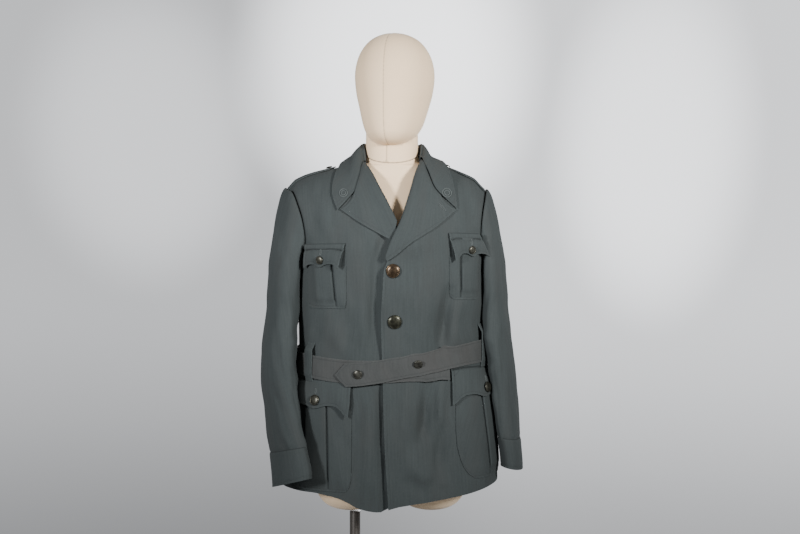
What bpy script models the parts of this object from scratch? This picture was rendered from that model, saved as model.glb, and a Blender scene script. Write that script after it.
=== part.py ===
"""Military dress tunic, belted, on a limbless dress form with a round-based stand.

Metres, +Z up. The front faces -Y and the wearer's left is +X. The origin is the centre of the base's
underside. Every piece of cloth is a sheet with a thickness, laid on one body form: a stack of sections
below the arms, and above them a crest that falls from the chest and the back to the shoulder line.
"""

import bisect
import math

import bmesh
import bpy
from mathutils import Matrix, Vector

CLOTH = 0.002  # wall of the cloth
GAP = 0.0004  # between pieces at a seam
SEAM_SET_BACK = 0.0005  # of each panel at its side seam and armhole
SHOULDER_SET_BACK = 0.0012  # of each panel at the shoulder seam, where two walls meet at an angle
LAYER = 0.0034  # one cloth layer over another: its wall and its clearance

ARM_HEIGHT = 1.315  # lowest point of the armholes
NECK_HALF = 0.066  # half-width of the neckline on the shoulder line
NECK_BACK = 0.074  # depth of the neckline behind the shoulder line
SQUARE = 2.4  # squareness of the body's sections: 2 is an ellipse
FRONT_CREST = (2.4, 0.60)  # how the chest falls back to the shoulder line
BACK_CREST = (3.2, 0.55)  # how the back comes forward to it


class Table:
    """Rows with named columns, read smoothly between the rows by the first column."""

    def __init__(self, names, *rows):
        self.names = names.split()
        self.rows = rows
        self.keys = [row[0] for row in rows]

    def at(self, key, name):
        values = [row[self.names.index(name)] for row in self.rows]
        keys = self.keys
        if key <= keys[0]:
            return values[0]
        if key >= keys[-1]:
            return values[-1]
        low = bisect.bisect_right(keys, key) - 1
        slopes = [(values[i + 1] - values[i]) / (keys[i + 1] - keys[i]) for i in range(len(keys) - 1)]
        span = keys[low + 1] - keys[low]
        part = (key - keys[low]) / span

        def tangent(i):
            if i in (0, len(keys) - 1) or slopes[i - 1] * slopes[i] <= 0:
                return 0.0
            return 2 * slopes[i - 1] * slopes[i] / (slopes[i - 1] + slopes[i])

        start, end = tangent(low) * span, tangent(low + 1) * span
        rise = values[low + 1] - values[low]
        return values[low] + part * start + part**2 * (3 * rise - 2 * start - end) + part**3 * (
            start + end - 2 * rise
        )


# Outside of the tunic: half-widths to the wearer's right and left, depths to the front and back.
BODY = Table(
    "height right left front back",
    (0.800, 0.243, 0.227, 0.158, 0.150),
    (0.870, 0.240, 0.225, 0.157, 0.149),
    (0.950, 0.232, 0.222, 0.152, 0.145),
    (1.040, 0.220, 0.213, 0.143, 0.135),
    (1.090, 0.210, 0.204, 0.134, 0.122),
    (1.140, 0.2045, 0.194, 0.127, 0.112),
    (1.200, 0.205, 0.1915, 0.131, 0.117),
    (1.260, 0.206, 0.195, 0.139, 0.127),
    (1.315, 0.206, 0.1975, 0.143, 0.134),
)
# Above the arms the sections widen to these half-widths at the shoulder line.
SHOULDER_SPREAD = {"right": 0.262, "left": 0.236}
SHOULDER = {
    "right": Table(
        "across height",
        (0.000, 1.566),
        (0.066, 1.560),
        (0.113, 1.544),
        (0.139, 1.537),
        (0.184, 1.525),
        (0.211, 1.513),
        (0.230, 1.497),
    ),
    "left": Table(
        "across height",
        (0.000, 1.566),
        (0.066, 1.560),
        (0.086, 1.552),
        (0.114, 1.541),
        (0.144, 1.529),
        (0.172, 1.516),
        (0.198, 1.494),
    ),
}
# Armhole seam: share of the way up from the armpit to the shoulder line, and how far across.
ARMHOLE = {
    "right": Table(
        "rise across",
        (0.00, 0.2060),
        (0.06, 0.1985),
        (0.16, 0.1890),
        (0.32, 0.1840),
        (0.50, 0.1890),
        (0.70, 0.2010),
        (0.88, 0.2150),
        (1.00, 0.2300),
    ),
    "left": Table(
        "rise across",
        (0.00, 0.1975),
        (0.06, 0.1930),
        (0.16, 0.1870),
        (0.32, 0.1835),
        (0.50, 0.1845),
        (0.70, 0.1885),
        (0.88, 0.1945),
        (1.00, 0.1980),
    ),
}
# Height of the hem round the skirt, in degrees from the centre front towards the wearer's left.
HEM = Table(
    "turn height",
    (-180, 0.860),
    (-90, 0.851),
    (-60, 0.856),
    (-40, 0.854),
    (-24, 0.838),
    (-10, 0.828),
    (2, 0.835),
    (20, 0.846),
    (40, 0.855),
    (65, 0.862),
    (90, 0.869),
    (180, 0.860),
)
# Inner edge of each front: straight up to the break, then the roll line to the neck.
FRONT_EDGE = Table(
    "height left right",
    (0.800, -0.008, 0.030),
    (0.974, -0.0184, 0.030),
    (1.135, -0.0240, 0.030),
    (1.220, -0.0266, 0.031),
    (1.280, -0.0228, 0.033),
    (1.339, -0.0170, 0.034),
    (1.381, -0.0029, 0.0263),
    (1.415, 0.0135, 0.0101),
    (1.451, 0.0257, -0.0080),
    (1.4895, 0.0372, -0.0282),
    (1.5236, 0.0468, -0.0452),
    (1.560, 0.0660, -0.0660),
)
# The larger soft folds of the fronts: where they run, how wide, and how far in or out.
FOLDS = Table(
    "top top_across bottom bottom_across half_width depth",
    (1.370, -0.044, 1.120, -0.036, 0.016, -0.0030),
    (1.255, 0.150, 1.150, 0.095, 0.026, -0.0035),
    (1.080, 0.064, 0.900, 0.068, 0.016, -0.0040),
    (1.080, 0.098, 0.880, 0.100, 0.020, -0.0040),
    (1.060, -0.058, 0.850, -0.062, 0.018, 0.0035),
)

SIGN = {"right": -1, "left": 1}


def power(value, exponent):
    return max(value, 0.0) ** exponent


def smooth(value):
    value = min(max(value, 0.0), 1.0)
    return value * value * (3 - 2 * value)


def fold_depth(across, height):
    """How far the soft folds move the front out at a place."""
    moved = 0.0
    for top, top_across, bottom, bottom_across, half_width, depth in FOLDS.rows:
        along = (top - height) / (top - bottom)
        if not 0 < along < 1:
            continue
        middle = top_across + (bottom_across - top_across) * along
        moved += depth * math.sin(math.pi * along) * math.exp(-(((across - middle) / half_width) ** 2))
    return moved


def crest(rise, shape):
    return power(1 - power(rise, shape[0]), shape[1])


def uncrest(share, shape):
    """The rise at which a crest has fallen to this share of its depth."""
    return power(1 - power(min(share, 1.0), 1 / shape[1]), 1 / shape[0])


def half_width(side, height, rise):
    below = BODY.at(min(height, ARM_HEIGHT), side)
    return below + (SHOULDER_SPREAD[side] - below) * smooth(rise)


def depth_at(across, height, rise, back):
    """Depth of the body behind or before the shoulder line, for a place across and a rise."""
    side = "left" if across >= 0 else "right"
    wide = half_width(side, height, rise)
    flat = power(1 - power(abs(across) / wide, SQUARE), 1 / SQUARE)
    depth = BODY.at(min(height, ARM_HEIGHT), "back" if back else "front")
    return depth * flat * crest(rise, BACK_CREST if back else FRONT_CREST)


def shoulder_line(across):
    return SHOULDER["left" if across >= 0 else "right"].at(abs(across), "height")


def rise_at(across, height):
    return max(0.0, (height - ARM_HEIGHT) / (shoulder_line(across) - ARM_HEIGHT))


def at_rise(across, rise, back=False):
    """A place on the upper body, given how far across it is and its rise to the shoulder line."""
    height = ARM_HEIGHT + rise * (shoulder_line(across) - ARM_HEIGHT)
    depth = depth_at(across, height, rise, back)
    if back:
        return Vector((across, depth, height))
    return Vector((across, -depth - fold_depth(across, height), height))


def front_at(across, height):
    return at_height(across, height, False)


def at_height(across, height, back):
    depth = depth_at(across, height, rise_at(across, height), back)
    if back:
        return Vector((across, depth, height))
    return Vector((across, -depth - fold_depth(across, height), height))


def spread(points, count):
    """The same line with this many points, evenly spaced along it."""
    lengths = [0.0]
    for first, second in zip(points, points[1:]):
        lengths.append(lengths[-1] + (second - first).length)
    even = []
    for number in range(count):
        want = lengths[-1] * number / (count - 1)
        low = min(max(bisect.bisect_right(lengths, want) - 1, 0), len(points) - 2)
        span = lengths[low + 1] - lengths[low]
        even.append(points[low].lerp(points[low + 1], (want - lengths[low]) / span if span else 0))
    return even


SECTION_STEPS = 48
sections = {}


def section(side, height):
    """Points of half a section from the centre front to the centre back, with the distance along it."""
    key = (side, round(height, 5))
    if key not in sections:
        points = []
        for step in range(2 * SECTION_STEPS + 1):
            turn = math.radians(90 * step / SECTION_STEPS)
            wide = half_width(side, height, 0)
            across = SIGN[side] * wide * power(math.sin(turn), 2 / SQUARE)
            points.append(at_height(across, height, step > SECTION_STEPS))
        lengths = [0.0]
        for first, second in zip(points, points[1:]):
            lengths.append(lengths[-1] + (second - first).length)
        sections[key] = (points, lengths)
    return sections[key]


def half_round(side, height):
    return section(side, height)[1][-1]


def around(distance, height):
    """The place at this distance round the body from its centre front, towards the left if positive."""
    side = "left" if distance >= 0 else "right"
    points, lengths = section(side, height)
    distance = min(abs(distance), lengths[-1])
    low = min(max(bisect.bisect_right(lengths, distance) - 1, 0), len(points) - 2)
    return points[low].lerp(points[low + 1], (distance - lengths[low]) / (lengths[low + 1] - lengths[low]))


def outward(distance, height):
    """Direction out of the body there."""
    step = 0.004
    along = around(distance + step, height) - around(distance - step, height)
    if abs(distance) + step > half_round("left" if distance >= 0 else "right", height):
        along = Vector((-1.0, 0.0, 0.0))
    up = around(distance, height + step) - around(distance, height - step)
    return along.cross(up).normalized()


def on_body(distance, height, out):
    return around(distance, height) + outward(distance, height) * out


def front_out(across, height, out):
    """A place on the front by how far across it is, moved out of the cloth."""
    step = 0.003
    along = front_at(across + step, height) - front_at(across - step, height)
    up = front_at(across, height + step) - front_at(across, height - step)
    return front_at(across, height) + along.cross(up).normalized() * out


# ---- Blender objects ----


def start():
    for old in list(bpy.data.objects):
        bpy.data.objects.remove(old, do_unlink=True)
    made = bpy.data.collections.new("military_dress_tunic_on_form")
    cutters = bpy.data.collections.new("cutters")
    for one in (made, cutters):
        bpy.context.scene.collection.children.link(one)
    return made, cutters


OBJECTS, CUTTERS = start()


def principled(name, colour, roughness, metallic=0.0):
    made = bpy.data.materials.new(name)
    made.use_nodes = True
    shader = made.node_tree.nodes["Principled BSDF"]
    shader.inputs["Base Color"].default_value = (*colour, 1)
    shader.inputs["Roughness"].default_value = roughness
    shader.inputs["Metallic"].default_value = metallic
    return made


TUNIC_CLOTH = principled("tunic_cloth", (0.085, 0.108, 0.110), 0.9)
BELT_CLOTH = principled("belt_cloth", (0.110, 0.108, 0.102), 0.9)
BRONZE = principled("button_bronze", (0.16, 0.12, 0.06), 0.3, 0.9)
COVER = principled("form_cover", (0.78, 0.69, 0.56), 0.85)
POLE_STEEL = principled("pole_steel", (0.16, 0.14, 0.12), 0.4, 0.8)
BASE_STEEL = principled("base_steel", (0.55, 0.54, 0.52), 0.45, 0.6)


def add_object(name, mesh, material):
    made = bpy.data.objects.new(name, mesh)
    made.data.materials.append(material)
    OBJECTS.objects.link(made)
    return made


def grid(name, rows, closed=False):
    """A mesh grid with its vertices moved to these rows of points. A closed one joins each row's ends."""
    height, width = len(rows), len(rows[0]) + closed
    build = bmesh.new()
    bmesh.ops.create_grid(build, x_segments=width - 1, y_segments=height - 1, size=0.5)
    for vertex in build.verts:
        column = round((vertex.co.x + 0.5) * (width - 1))
        row = round((vertex.co.y + 0.5) * (height - 1))
        vertex.co = rows[row][column % len(rows[0])]
    if closed:
        bmesh.ops.remove_doubles(build, verts=build.verts, dist=0.00001)
    mesh = bpy.data.meshes.new(name)
    build.to_mesh(mesh)
    build.free()
    mesh.shade_smooth()
    return mesh


def cloth(name, rows, material=None, closed=False, centred=False, wall=CLOTH):
    """A sheet of cloth on rows of points, its wall under them or, if centred, to both sides of them."""
    made = add_object(name, grid(name, rows, closed), material or TUNIC_CLOTH)
    shell = made.modifiers.new("Wall", "SOLIDIFY")
    shell.thickness = wall
    shell.offset = 0 if centred else -1
    shell.use_even_offset = not centred
    return made


def solid(name, rows, material):
    """A closed body through rings of points, with flat ends."""
    mesh = grid(name, rows, closed=True)
    build = bmesh.new()
    build.from_mesh(mesh)
    bmesh.ops.holes_fill(build, edges=[edge for edge in build.edges if edge.is_boundary], sides=0)
    bmesh.ops.recalc_face_normals(build, faces=build.faces)
    build.to_mesh(mesh)
    build.free()
    return add_object(name, mesh, material)


def turned(name, profile, material, place=None, steps=20):
    """A turned piece: (radius, height) pairs from the top of its outside to the bottom."""
    mesh = bpy.data.meshes.new(name)
    points = [(radius, 0, height) for radius, height in profile]
    mesh.from_pydata(points, [(i, i + 1) for i in range(len(points) - 1)], [])
    made = add_object(name, mesh, material)
    screw = made.modifiers.new("Turn", "SCREW")
    screw.steps = screw.render_steps = steps
    screw.use_merge_vertices = True
    screw.merge_threshold = 0.00001
    if place is not None:
        made.matrix_world = place
    return made


# ---- The body pieces ----

SKIRT_ROWS = 15
RISES = (0, 0.05, 0.10, 0.18, 0.29, 0.42, 0.55, 0.68, 0.79, 0.88, 0.95, 0.985, 1)  # chest rows
FRONT_COLUMNS = 10
BACK_COLUMNS = 18
OVERLAP = 0.054  # how far the left front lies over the right one
LAPEL_PAD = 0.0050  # what the right lapel adds under the left front


def lift(across, height):
    """How far the left front stands off over the right one."""
    past = across - FRONT_EDGE.at(height, "left")
    over_lapel = smooth((height - 1.335) / 0.035)
    return (LAYER + LAPEL_PAD * over_lapel) * (1 - smooth((past - OVERLAP) / 0.05))


def inner_edge(side, rise):
    """How far across a front's inner edge is, on the row with this rise."""
    across = FRONT_EDGE.at(ARM_HEIGHT, side)
    for _ in range(6):
        across = FRONT_EDGE.at(ARM_HEIGHT + rise * (shoulder_line(across) - ARM_HEIGHT), side)
    return across


def row_shares():
    """Rows from the hem to the shoulder: below 0 in the skirt, above it by rise."""
    return [row / SKIRT_ROWS - 1 for row in range(SKIRT_ROWS)] + list(RISES)


def skirt_height(turn, share):
    hem = HEM.at(turn, "height")
    return hem + (ARM_HEIGHT - hem) * (share + 1)


def skirt_point(side, turn, share, back=False):
    """A place below the arms by its turn in degrees from the centre front, or from the centre back."""
    signed = SIGN[side] * (180 - turn if back else turn)
    height = skirt_height(signed, share)
    across = SIGN[side] * BODY.at(height, side) * power(math.sin(math.radians(turn)), 2 / SQUARE)
    return at_height(across, height, back)


def turn_of(across, wide):
    return math.degrees(math.asin(power(min(abs(across) / wide, 1.0), SQUARE / 2)))


ROW_SAMPLES = 40


def front_row(side, share):
    """One row of a front, from its inner edge to the side seam or the armhole."""
    sign = SIGN[side]
    points = []
    if share < 0:
        height = skirt_height(0, share)
        inner = FRONT_EDGE.at(height, side)
        for step in range(ROW_SAMPLES + 1):
            part = step / ROW_SAMPLES
            start = sign * math.copysign(turn_of(inner, BODY.at(height, side)), inner)
            turn = start + (90 - start) * part
            if turn < 0:
                other = "left" if side == "right" else "right"
                points.append(skirt_point(other, -turn, share))
            else:
                points.append(skirt_point(side, turn, share))
    else:
        inner = inner_edge(side, share)
        outer = ARMHOLE[side].at(share, "across")
        wide = half_width(side, ARM_HEIGHT, share)
        start = sign * math.copysign(turn_of(inner, wide), inner)
        end = turn_of(outer, wide)
        for step in range(ROW_SAMPLES + 1):
            turn = start + (end - start) * step / ROW_SAMPLES
            across = sign * math.copysign(wide * power(abs(math.sin(math.radians(turn))), 2 / SQUARE), turn)
            points.append(at_rise(across, share))
    return spread(points, FRONT_COLUMNS + 1)


def seam_set_back(rows, first, last):
    """Moves a panel's first and last columns in by half a seam's gap."""
    for row in rows:
        if first:
            row[0] = row[0] + (row[1] - row[0]).normalized() * first
        if last:
            row[-1] = row[-1] + (row[-2] - row[-1]).normalized() * last
    return rows


ROLL_SET_BACK = 0.0055  # the front ends this far short of the roll of its lapel


def make_front(side):
    rows = []
    for share in row_shares():
        points = front_row(side, share)
        height = points[0].z
        back_off = ROLL_SET_BACK * smooth((height - 1.320) / 0.015)
        points = seam_set_back([points], back_off, SEAM_SET_BACK)[0]
        if side == "left":
            points = [front_out_by(point) for point in points]
        rows.append(points)
    shoulder = rows[-1]
    for column, point in enumerate(shoulder):
        shoulder[column] = point + (rows[-2][column] - point).normalized() * SHOULDER_SET_BACK
    if side == "right":
        rows = [row[::-1] for row in rows]
    cloth(f"front_{side}", rows)


def front_out_by(point):
    """The left front's own place: the body's, moved forward over the right front."""
    return point + Vector((0, -lift(point.x, point.z), 0))


def neck_rise(across):
    """Rise at which the back ends in the neckline, or 1 on the shoulders."""
    if abs(across) >= NECK_HALF:
        return 1.0
    behind = NECK_BACK * math.sqrt(1 - (across / NECK_HALF) ** 2)
    return uncrest(behind / depth_at(across, ARM_HEIGHT, 0, True), BACK_CREST)


def make_back():
    rows = []
    for share in row_shares():
        halves = []
        for side in ("right", "left"):
            points = []
            for step in range(ROW_SAMPLES + 1):
                part = step / ROW_SAMPLES
                if share < 0:
                    points.append(skirt_point(side, 90 * part, share, back=True))
                    continue
                wide = half_width(side, ARM_HEIGHT, share)
                end = turn_of(ARMHOLE[side].at(share, "across"), wide)
                turn = math.radians(end * part)
                across = SIGN[side] * wide * power(math.sin(turn), 2 / SQUARE)
                points.append(at_rise(across, share * neck_rise(across), back=True))
            halves.append(points)
        line = halves[1][::-1] + halves[0][1:]
        rows.append(spread(line, BACK_COLUMNS + 1))
    rows = seam_set_back(rows, SEAM_SET_BACK, SEAM_SET_BACK)
    for column, point in enumerate(rows[-1]):
        rows[-1][column] = point + (rows[-2][column] - point).normalized() * SHOULDER_SET_BACK
    cloth("back", rows)


# ---- Sleeves ----

SLEEVE_POINTS = 18
# Each sleeve from its cuff's rim to under its head: place of the middle, half-width and half-depth of
# the flattened ring, degrees that its front is turned in towards the body, and how far it is raised.
SLEEVES = {
    "right": Table(
        "height across forward half_width half_depth turned raised",
        (0.886, -0.2170, -0.1370, 0.0250, 0.0600, 38, 0.018),
        (0.940, -0.2240, -0.1210, 0.0245, 0.0620, 36, 0.015),
        (0.983, -0.2305, -0.1050, 0.0250, 0.0640, 33, 0.012),
        (1.040, -0.2400, -0.0820, 0.0245, 0.0670, 29, 0.008),
        (1.100, -0.2500, -0.0560, 0.0245, 0.0710, 26, 0.004),
        (1.150, -0.2510, -0.0380, 0.0260, 0.0740, 22, 0.001),
        (1.210, -0.2450, -0.0220, 0.0280, 0.0770, 17, 0.000),
        (1.250, -0.2405, -0.0120, 0.0300, 0.0800, 13, 0.000),
    ),
    "left": Table(
        "height across forward half_width half_depth turned raised",
        (0.886, 0.2545, -0.0300, 0.0200, 0.0600, 8, 0.005),
        (0.955, 0.2510, -0.0280, 0.0210, 0.0620, 10, 0.004),
        (1.035, 0.2455, -0.0220, 0.0215, 0.0660, 12, 0.002),
        (1.110, 0.2385, -0.0140, 0.0225, 0.0710, 13, 0.000),
        (1.188, 0.2280, -0.0080, 0.0235, 0.0760, 14, 0.000),
        (1.250, 0.2215, -0.0020, 0.0245, 0.0800, 12, 0.000),
    ),
}
HEAD_ROWS = 6
ARM_ROWS = 13
SLEEVE_CLEAR = (0.0013, 0.0026)  # from the panels' cut edges, under the arm and at the shoulder
HEAD_OUT = (0.055, 0.030)  # how strongly the head leaves the armhole sideways: always, and more at the top
HEAD_UP = 0.056  # how strongly it leaves upwards at the top, which ropes it
HEAD_DOWN = 0.030  # and downwards under the arm
HEAD_FALL = (0.05, 0.22)  # how strongly it arrives at the arm: always, and more at the top
HEAD_CURVE = 1.25  # puts the armhole's first points closer together at the armpit
CUFF_DEPTH = 0.064
CUFF_OUT = 0.0036
CUFF_ROWS = 3


def armhole_loop(side):
    """The armhole from the shoulder down its front, under the arm and up its back."""
    shares = [(step / 24) ** HEAD_CURVE for step in range(25)]
    loop = []
    for back in (False, True):
        run = []
        for share in shares:
            across = SIGN[side] * ARMHOLE[side].at(share, "across")
            if share == 0:
                across = SIGN[side] * BODY.at(ARM_HEIGHT, side)
            run.append(at_rise(across, share, back))
        loop += run if back else run[::-1]
    loop = [point for number, point in enumerate(loop) if number != len(shares)]
    return spread(loop, SLEEVE_POINTS + 1)[:-1]


def sleeve_ring(side, height, grow=0.0):
    """A ring of the sleeve in the same order as the armhole: outer side, front, inner side, back."""
    row = {name: SLEEVES[side].at(height, name) for name in SLEEVES[side].names[1:]}
    ring = []
    turned_in = math.radians(row["turned"])
    for step in range(SLEEVE_POINTS):
        turn = 2 * math.pi * step / SLEEVE_POINTS
        out = math.cos(turn) * (row["half_width"] + grow)
        ahead = math.sin(turn) * (row["half_depth"] + grow)
        across = SIGN[side] * (out * math.cos(turned_in) - ahead * math.sin(turned_in))
        forward = -(out * math.sin(turned_in) + ahead * math.cos(turned_in))
        tilt = math.sin(turn) * row["raised"]
        ring.append(Vector((row["across"] + across, row["forward"] + forward, height + tilt)))
    return ring


def make_sleeve(side):
    sign = SIGN[side]
    loop = armhole_loop(side)
    top = SLEEVES[side].keys[-1]
    low = SLEEVES[side].keys[0]
    first = sleeve_ring(side, top)
    rows = []
    for row in range(HEAD_ROWS + 1):
        part = row / HEAD_ROWS
        ring = []
        for step, (start, end) in enumerate(zip(loop, first)):
            turn = 2 * math.pi * step / SLEEVE_POINTS
            upper = 0.5 + 0.5 * math.cos(turn)
            clear = SLEEVE_CLEAR[0] + (SLEEVE_CLEAR[1] - SLEEVE_CLEAR[0]) * upper
            start = start + Vector((sign * clear, 0, 0))
            sideways = sign * (HEAD_OUT[0] + HEAD_OUT[1] * upper)
            leave = Vector((sideways, 0, HEAD_UP * upper - HEAD_DOWN * (1 - upper)))
            arrive = Vector((0, 0, -(HEAD_FALL[0] + HEAD_FALL[1] * upper)))
            ring.append(hermite(start, leave, end, arrive, part))
        rows.append(ring)
    for row in range(1, ARM_ROWS + 1):
        rows.append(sleeve_ring(side, top + (low - top) * row / ARM_ROWS))
    if side == "right":
        rows = rows[::-1]
    cloth(f"sleeve_{side}", rows, closed=True)


def hermite(start, leave, end, arrive, part):
    square, cube = part * part, part**3
    return (
        start * (2 * cube - 3 * square + 1)
        + leave * (cube - 2 * square + part)
        + end * (3 * square - 2 * cube)
        + arrive * (cube - square)
    )


def make_cuff(side):
    low = SLEEVES[side].keys[0]
    heights = [low + CUFF_DEPTH * (1 - row / CUFF_ROWS) for row in range(CUFF_ROWS + 1)]
    rows = [sleeve_ring(side, height, CUFF_OUT) for height in heights]
    if side == "right":
        rows = rows[::-1]
    cloth(f"cuff_{side}", rows, closed=True)


# ---- Lapels and collar ----

LAPEL_OUT = 0.0030  # the lapel's middle surface over the front's outside
# Edges of each lapel as (across, height): roll line up, gorge and notch to the tip, outer edge up.
LAPELS = {
    "left": {
        "roll": ((-0.0160, 1.343), (-0.0029, 1.381), (0.0135, 1.415), (0.0257, 1.451), (0.0372, 1.4895),
                 (0.0468, 1.5236), (0.0570, 1.5460)),
        "top": ((0.0570, 1.5460), (0.0700, 1.5240), (0.0840, 1.4930), (0.0925, 1.4780), (0.0985, 1.4715),
                (0.1290, 1.4420)),
        "outer": ((-0.0110, 1.3370), (0.0075, 1.3500), (0.0400, 1.3760), (0.0870, 1.4065), (0.1290, 1.4420)),
    },
    "right": {
        "roll": ((0.0080, 1.4180), (-0.0080, 1.4510), (-0.0282, 1.4895), (-0.0452, 1.5236), (-0.0595, 1.5460)),
        "top": ((-0.0595, 1.5460), (-0.0650, 1.5210), (-0.0735, 1.4990), (-0.0795, 1.4790), (-0.1090, 1.4420)),
        "outer": ((0.0030, 1.3790), (-0.0083, 1.3820), (-0.0560, 1.4080), (-0.1090, 1.4420)),
    },
}
LAPEL_ROWS = 10
LAPEL_COLUMNS = 6


def polyline(points, count):
    return spread([Vector((x, 0, z)) for x, z in points], count)


def coons(bottom, top, left, right):
    """Rows of points over a four-sided patch between its edges."""
    rows = []
    height, width = len(left) - 1, len(bottom) - 1
    for j in range(height + 1):
        v = j / height
        row = []
        for i in range(width + 1):
            u = i / width
            edges = left[j] * (1 - u) + right[j] * u + bottom[i] * (1 - v) + top[i] * v
            corners = (bottom[0] * (1 - u) + bottom[-1] * u) * (1 - v) + (top[0] * (1 - u) + top[-1] * u) * v
            row.append(edges - corners)
        rows.append(row)
    return rows


# The roll's section, from under the front's edge round to the lapel: how far in and how far out.
ROLL_PATH = ((0.0030, -CLOTH / 2), (0.0009, -0.0018), (0.0, 0.00105), (0.0012, LAPEL_OUT))
NARROW = 0.002  # a lapel's row this short has no direction of its own
NARROW_WAY = (0.5, 0.3)  # so it takes this one, across and up


def make_lapel(side):
    edges = LAPELS[side]
    roll = polyline(edges["roll"], LAPEL_ROWS + 1)
    outer = polyline(edges["outer"], LAPEL_ROWS + 1)
    top = polyline(edges["top"], LAPEL_COLUMNS + 1)
    bottom = [roll[0].lerp(outer[0], i / LAPEL_COLUMNS) for i in range(LAPEL_COLUMNS + 1)]
    rows = []
    for number, flat in enumerate(coons(bottom, top, roll, outer)):
        across = flat[1] - flat[0]
        if across.length < NARROW:
            across = Vector((SIGN[side] * NARROW_WAY[0], 0, NARROW_WAY[1]))
        inward = across.normalized()
        line = []
        for inside, out in ROLL_PATH:
            line.append(lapel_point(side, flat[0] + inward * inside, out))
        for place in flat[1:]:
            line.append(lapel_point(side, place, LAPEL_OUT))
        rows.append(line)
    if side == "right":
        rows = [row[::-1] for row in rows]
    cloth(f"lapel_{side}", rows, centred=True)


def lapel_point(side, place, out):
    point = front_out(place.x, place.z, out)
    if side == "left":
        point.y -= lift(place.x, place.z)
    return point


# Collar: its fold from the centre back round to the front, and the outer edge of its fall.
COLLAR_SIDES = {
    "right": {
        "fold": ((0, 0.076, 1.594), (-0.036, 0.068, 1.595), (-0.060, 0.040, 1.596), (-0.0680, 0.008, 1.594),
                 (-0.0675, -0.012, 1.582), (-0.0640, -0.034, 1.556)),
        "edge": ((0, 0.104, 1.536), (-0.045, 0.098, 1.540), (-0.082, 0.070, 1.546), (-0.106, 0.030, 1.553),
                 (-0.1150, -0.012, 1.549), (-0.1225, -0.052, 1.516), (-0.1255, -0.088, 1.476),
                 (-0.1150, -0.112, 1.443)),
        "end": ((-0.0640, 1.556), (-0.0670, 1.524), (-0.0755, 1.500), (-0.0815, 1.482), (-0.1150, 1.443)),
    },
    "left": {
        "fold": ((0, 0.076, 1.594), (0.036, 0.068, 1.595), (0.058, 0.040, 1.595), (0.0640, 0.008, 1.593),
                 (0.0640, -0.012, 1.582), (0.0610, -0.034, 1.556)),
        "edge": ((0, 0.104, 1.536), (0.045, 0.098, 1.540), (0.076, 0.070, 1.547), (0.092, 0.030, 1.556),
                 (0.1010, -0.012, 1.550), (0.1160, -0.052, 1.516), (0.1270, -0.088, 1.478),
                 (0.1300, -0.112, 1.446)),
        "end": ((0.0610, 1.556), (0.0720, 1.527), (0.0865, 1.496), (0.0950, 1.481), (0.1005, 1.4745),
                (0.1300, 1.446)),
    },
}
COLLAR_COLUMNS = 11  # for each half
FALL_ROWS = 5
STAND_ROWS = 2
FOLD_RADIUS = 0.0026
COLLAR_OUT = 0.0045  # the fall's middle surface over the shoulders
STAND_HEIGHT = 0.030
STAND_DROP = 0.62  # share of the stand's height that it has lost at the collar's front ends
FALL_BULGE = 0.006  # how far the fall swells out behind
NECK_MIDDLE = (0.004, 0.010)  # how far behind the origin the collar's fold and fall are centred
OVER_FRONT = -0.02  # before this the fall lies on the fronts
MIDDLE_RISE = 0.6  # any rise with depth left in both crests


def height_over(across, forward):
    """Height of the upper body's surface over a place in plan."""
    back = forward > 0
    shape = BACK_CREST if back else FRONT_CREST
    deep = depth_at(across, ARM_HEIGHT, MIDDLE_RISE, back) / crest(MIDDLE_RISE, shape)
    rise = uncrest(abs(forward) / deep, shape)
    return ARM_HEIGHT + rise * (shoulder_line(across) - ARM_HEIGHT)


CLEAR_ROUNDS = 4
CLEAR_MOVE = 0.01  # most that a point moves in one round


def keep_clear(point, clearance):
    """The point, moved out of the upper body where it is nearer to it than the clearance."""
    step = 0.002
    for _ in range(CLEAR_ROUNDS):
        here = height_over(point.x, point.y)
        slope = Vector(
            (
                (height_over(point.x + step, point.y) - height_over(point.x - step, point.y)) / (2 * step),
                (height_over(point.x, point.y + step) - height_over(point.x, point.y - step)) / (2 * step),
                -1.0,
            )
        )
        away = (point.z - here) / slope.length
        if away >= clearance:
            return point
        point = point - slope.normalized() * min(clearance - away, CLEAR_MOVE)
    return point


def curve_points(points, count):
    """A smooth line through 3-D points, evenly spaced."""
    line = []
    ends = [points[0] * 2 - points[1], *points, points[-1] * 2 - points[-2]]
    for number in range(1, len(ends) - 2):
        before, start, end, after = ends[number - 1 : number + 3]
        for step in range(12):
            line.append(hermite(start, (end - before) / 2, end, (after - start) / 2, step / 12))
    return spread([*line, points[-1]], count)


def collar_half(side):
    """Columns of the collar's fall from the centre back to the front end: rows of points, fold first."""
    shape = COLLAR_SIDES[side]
    fold = curve_points([Vector(point) for point in shape["fold"]], COLLAR_COLUMNS + 1)
    edge = curve_points([Vector(point) for point in shape["edge"]], COLLAR_COLUMNS + 1)
    end = [front_out(x, z, COLLAR_OUT) for x, z in shape["end"]]
    if side == "left":
        end = [point - Vector((0, lift(point.x, point.z), 0)) for point in end]
    end = spread(end, FALL_ROWS + 1)
    fold[-1], edge[-1] = end[0], end[-1]
    start = [fold[0].lerp(edge[0], row / FALL_ROWS) for row in range(FALL_ROWS + 1)]
    fall = coons(start, end, fold, edge)
    for column, row in enumerate(fall):
        for place, point in enumerate(row):
            extra = lift(point.x, point.z) if side == "left" and point.y < OVER_FRONT else 0.0
            bulge = FALL_BULGE * math.sin(math.pi * place / FALL_ROWS) * (1 - column / COLLAR_COLUMNS)
            out = Vector((point.x, point.y - NECK_MIDDLE[1], 0)).normalized()
            row[place] = keep_clear(point + out * bulge, COLLAR_OUT + extra)
    return fall


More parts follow.
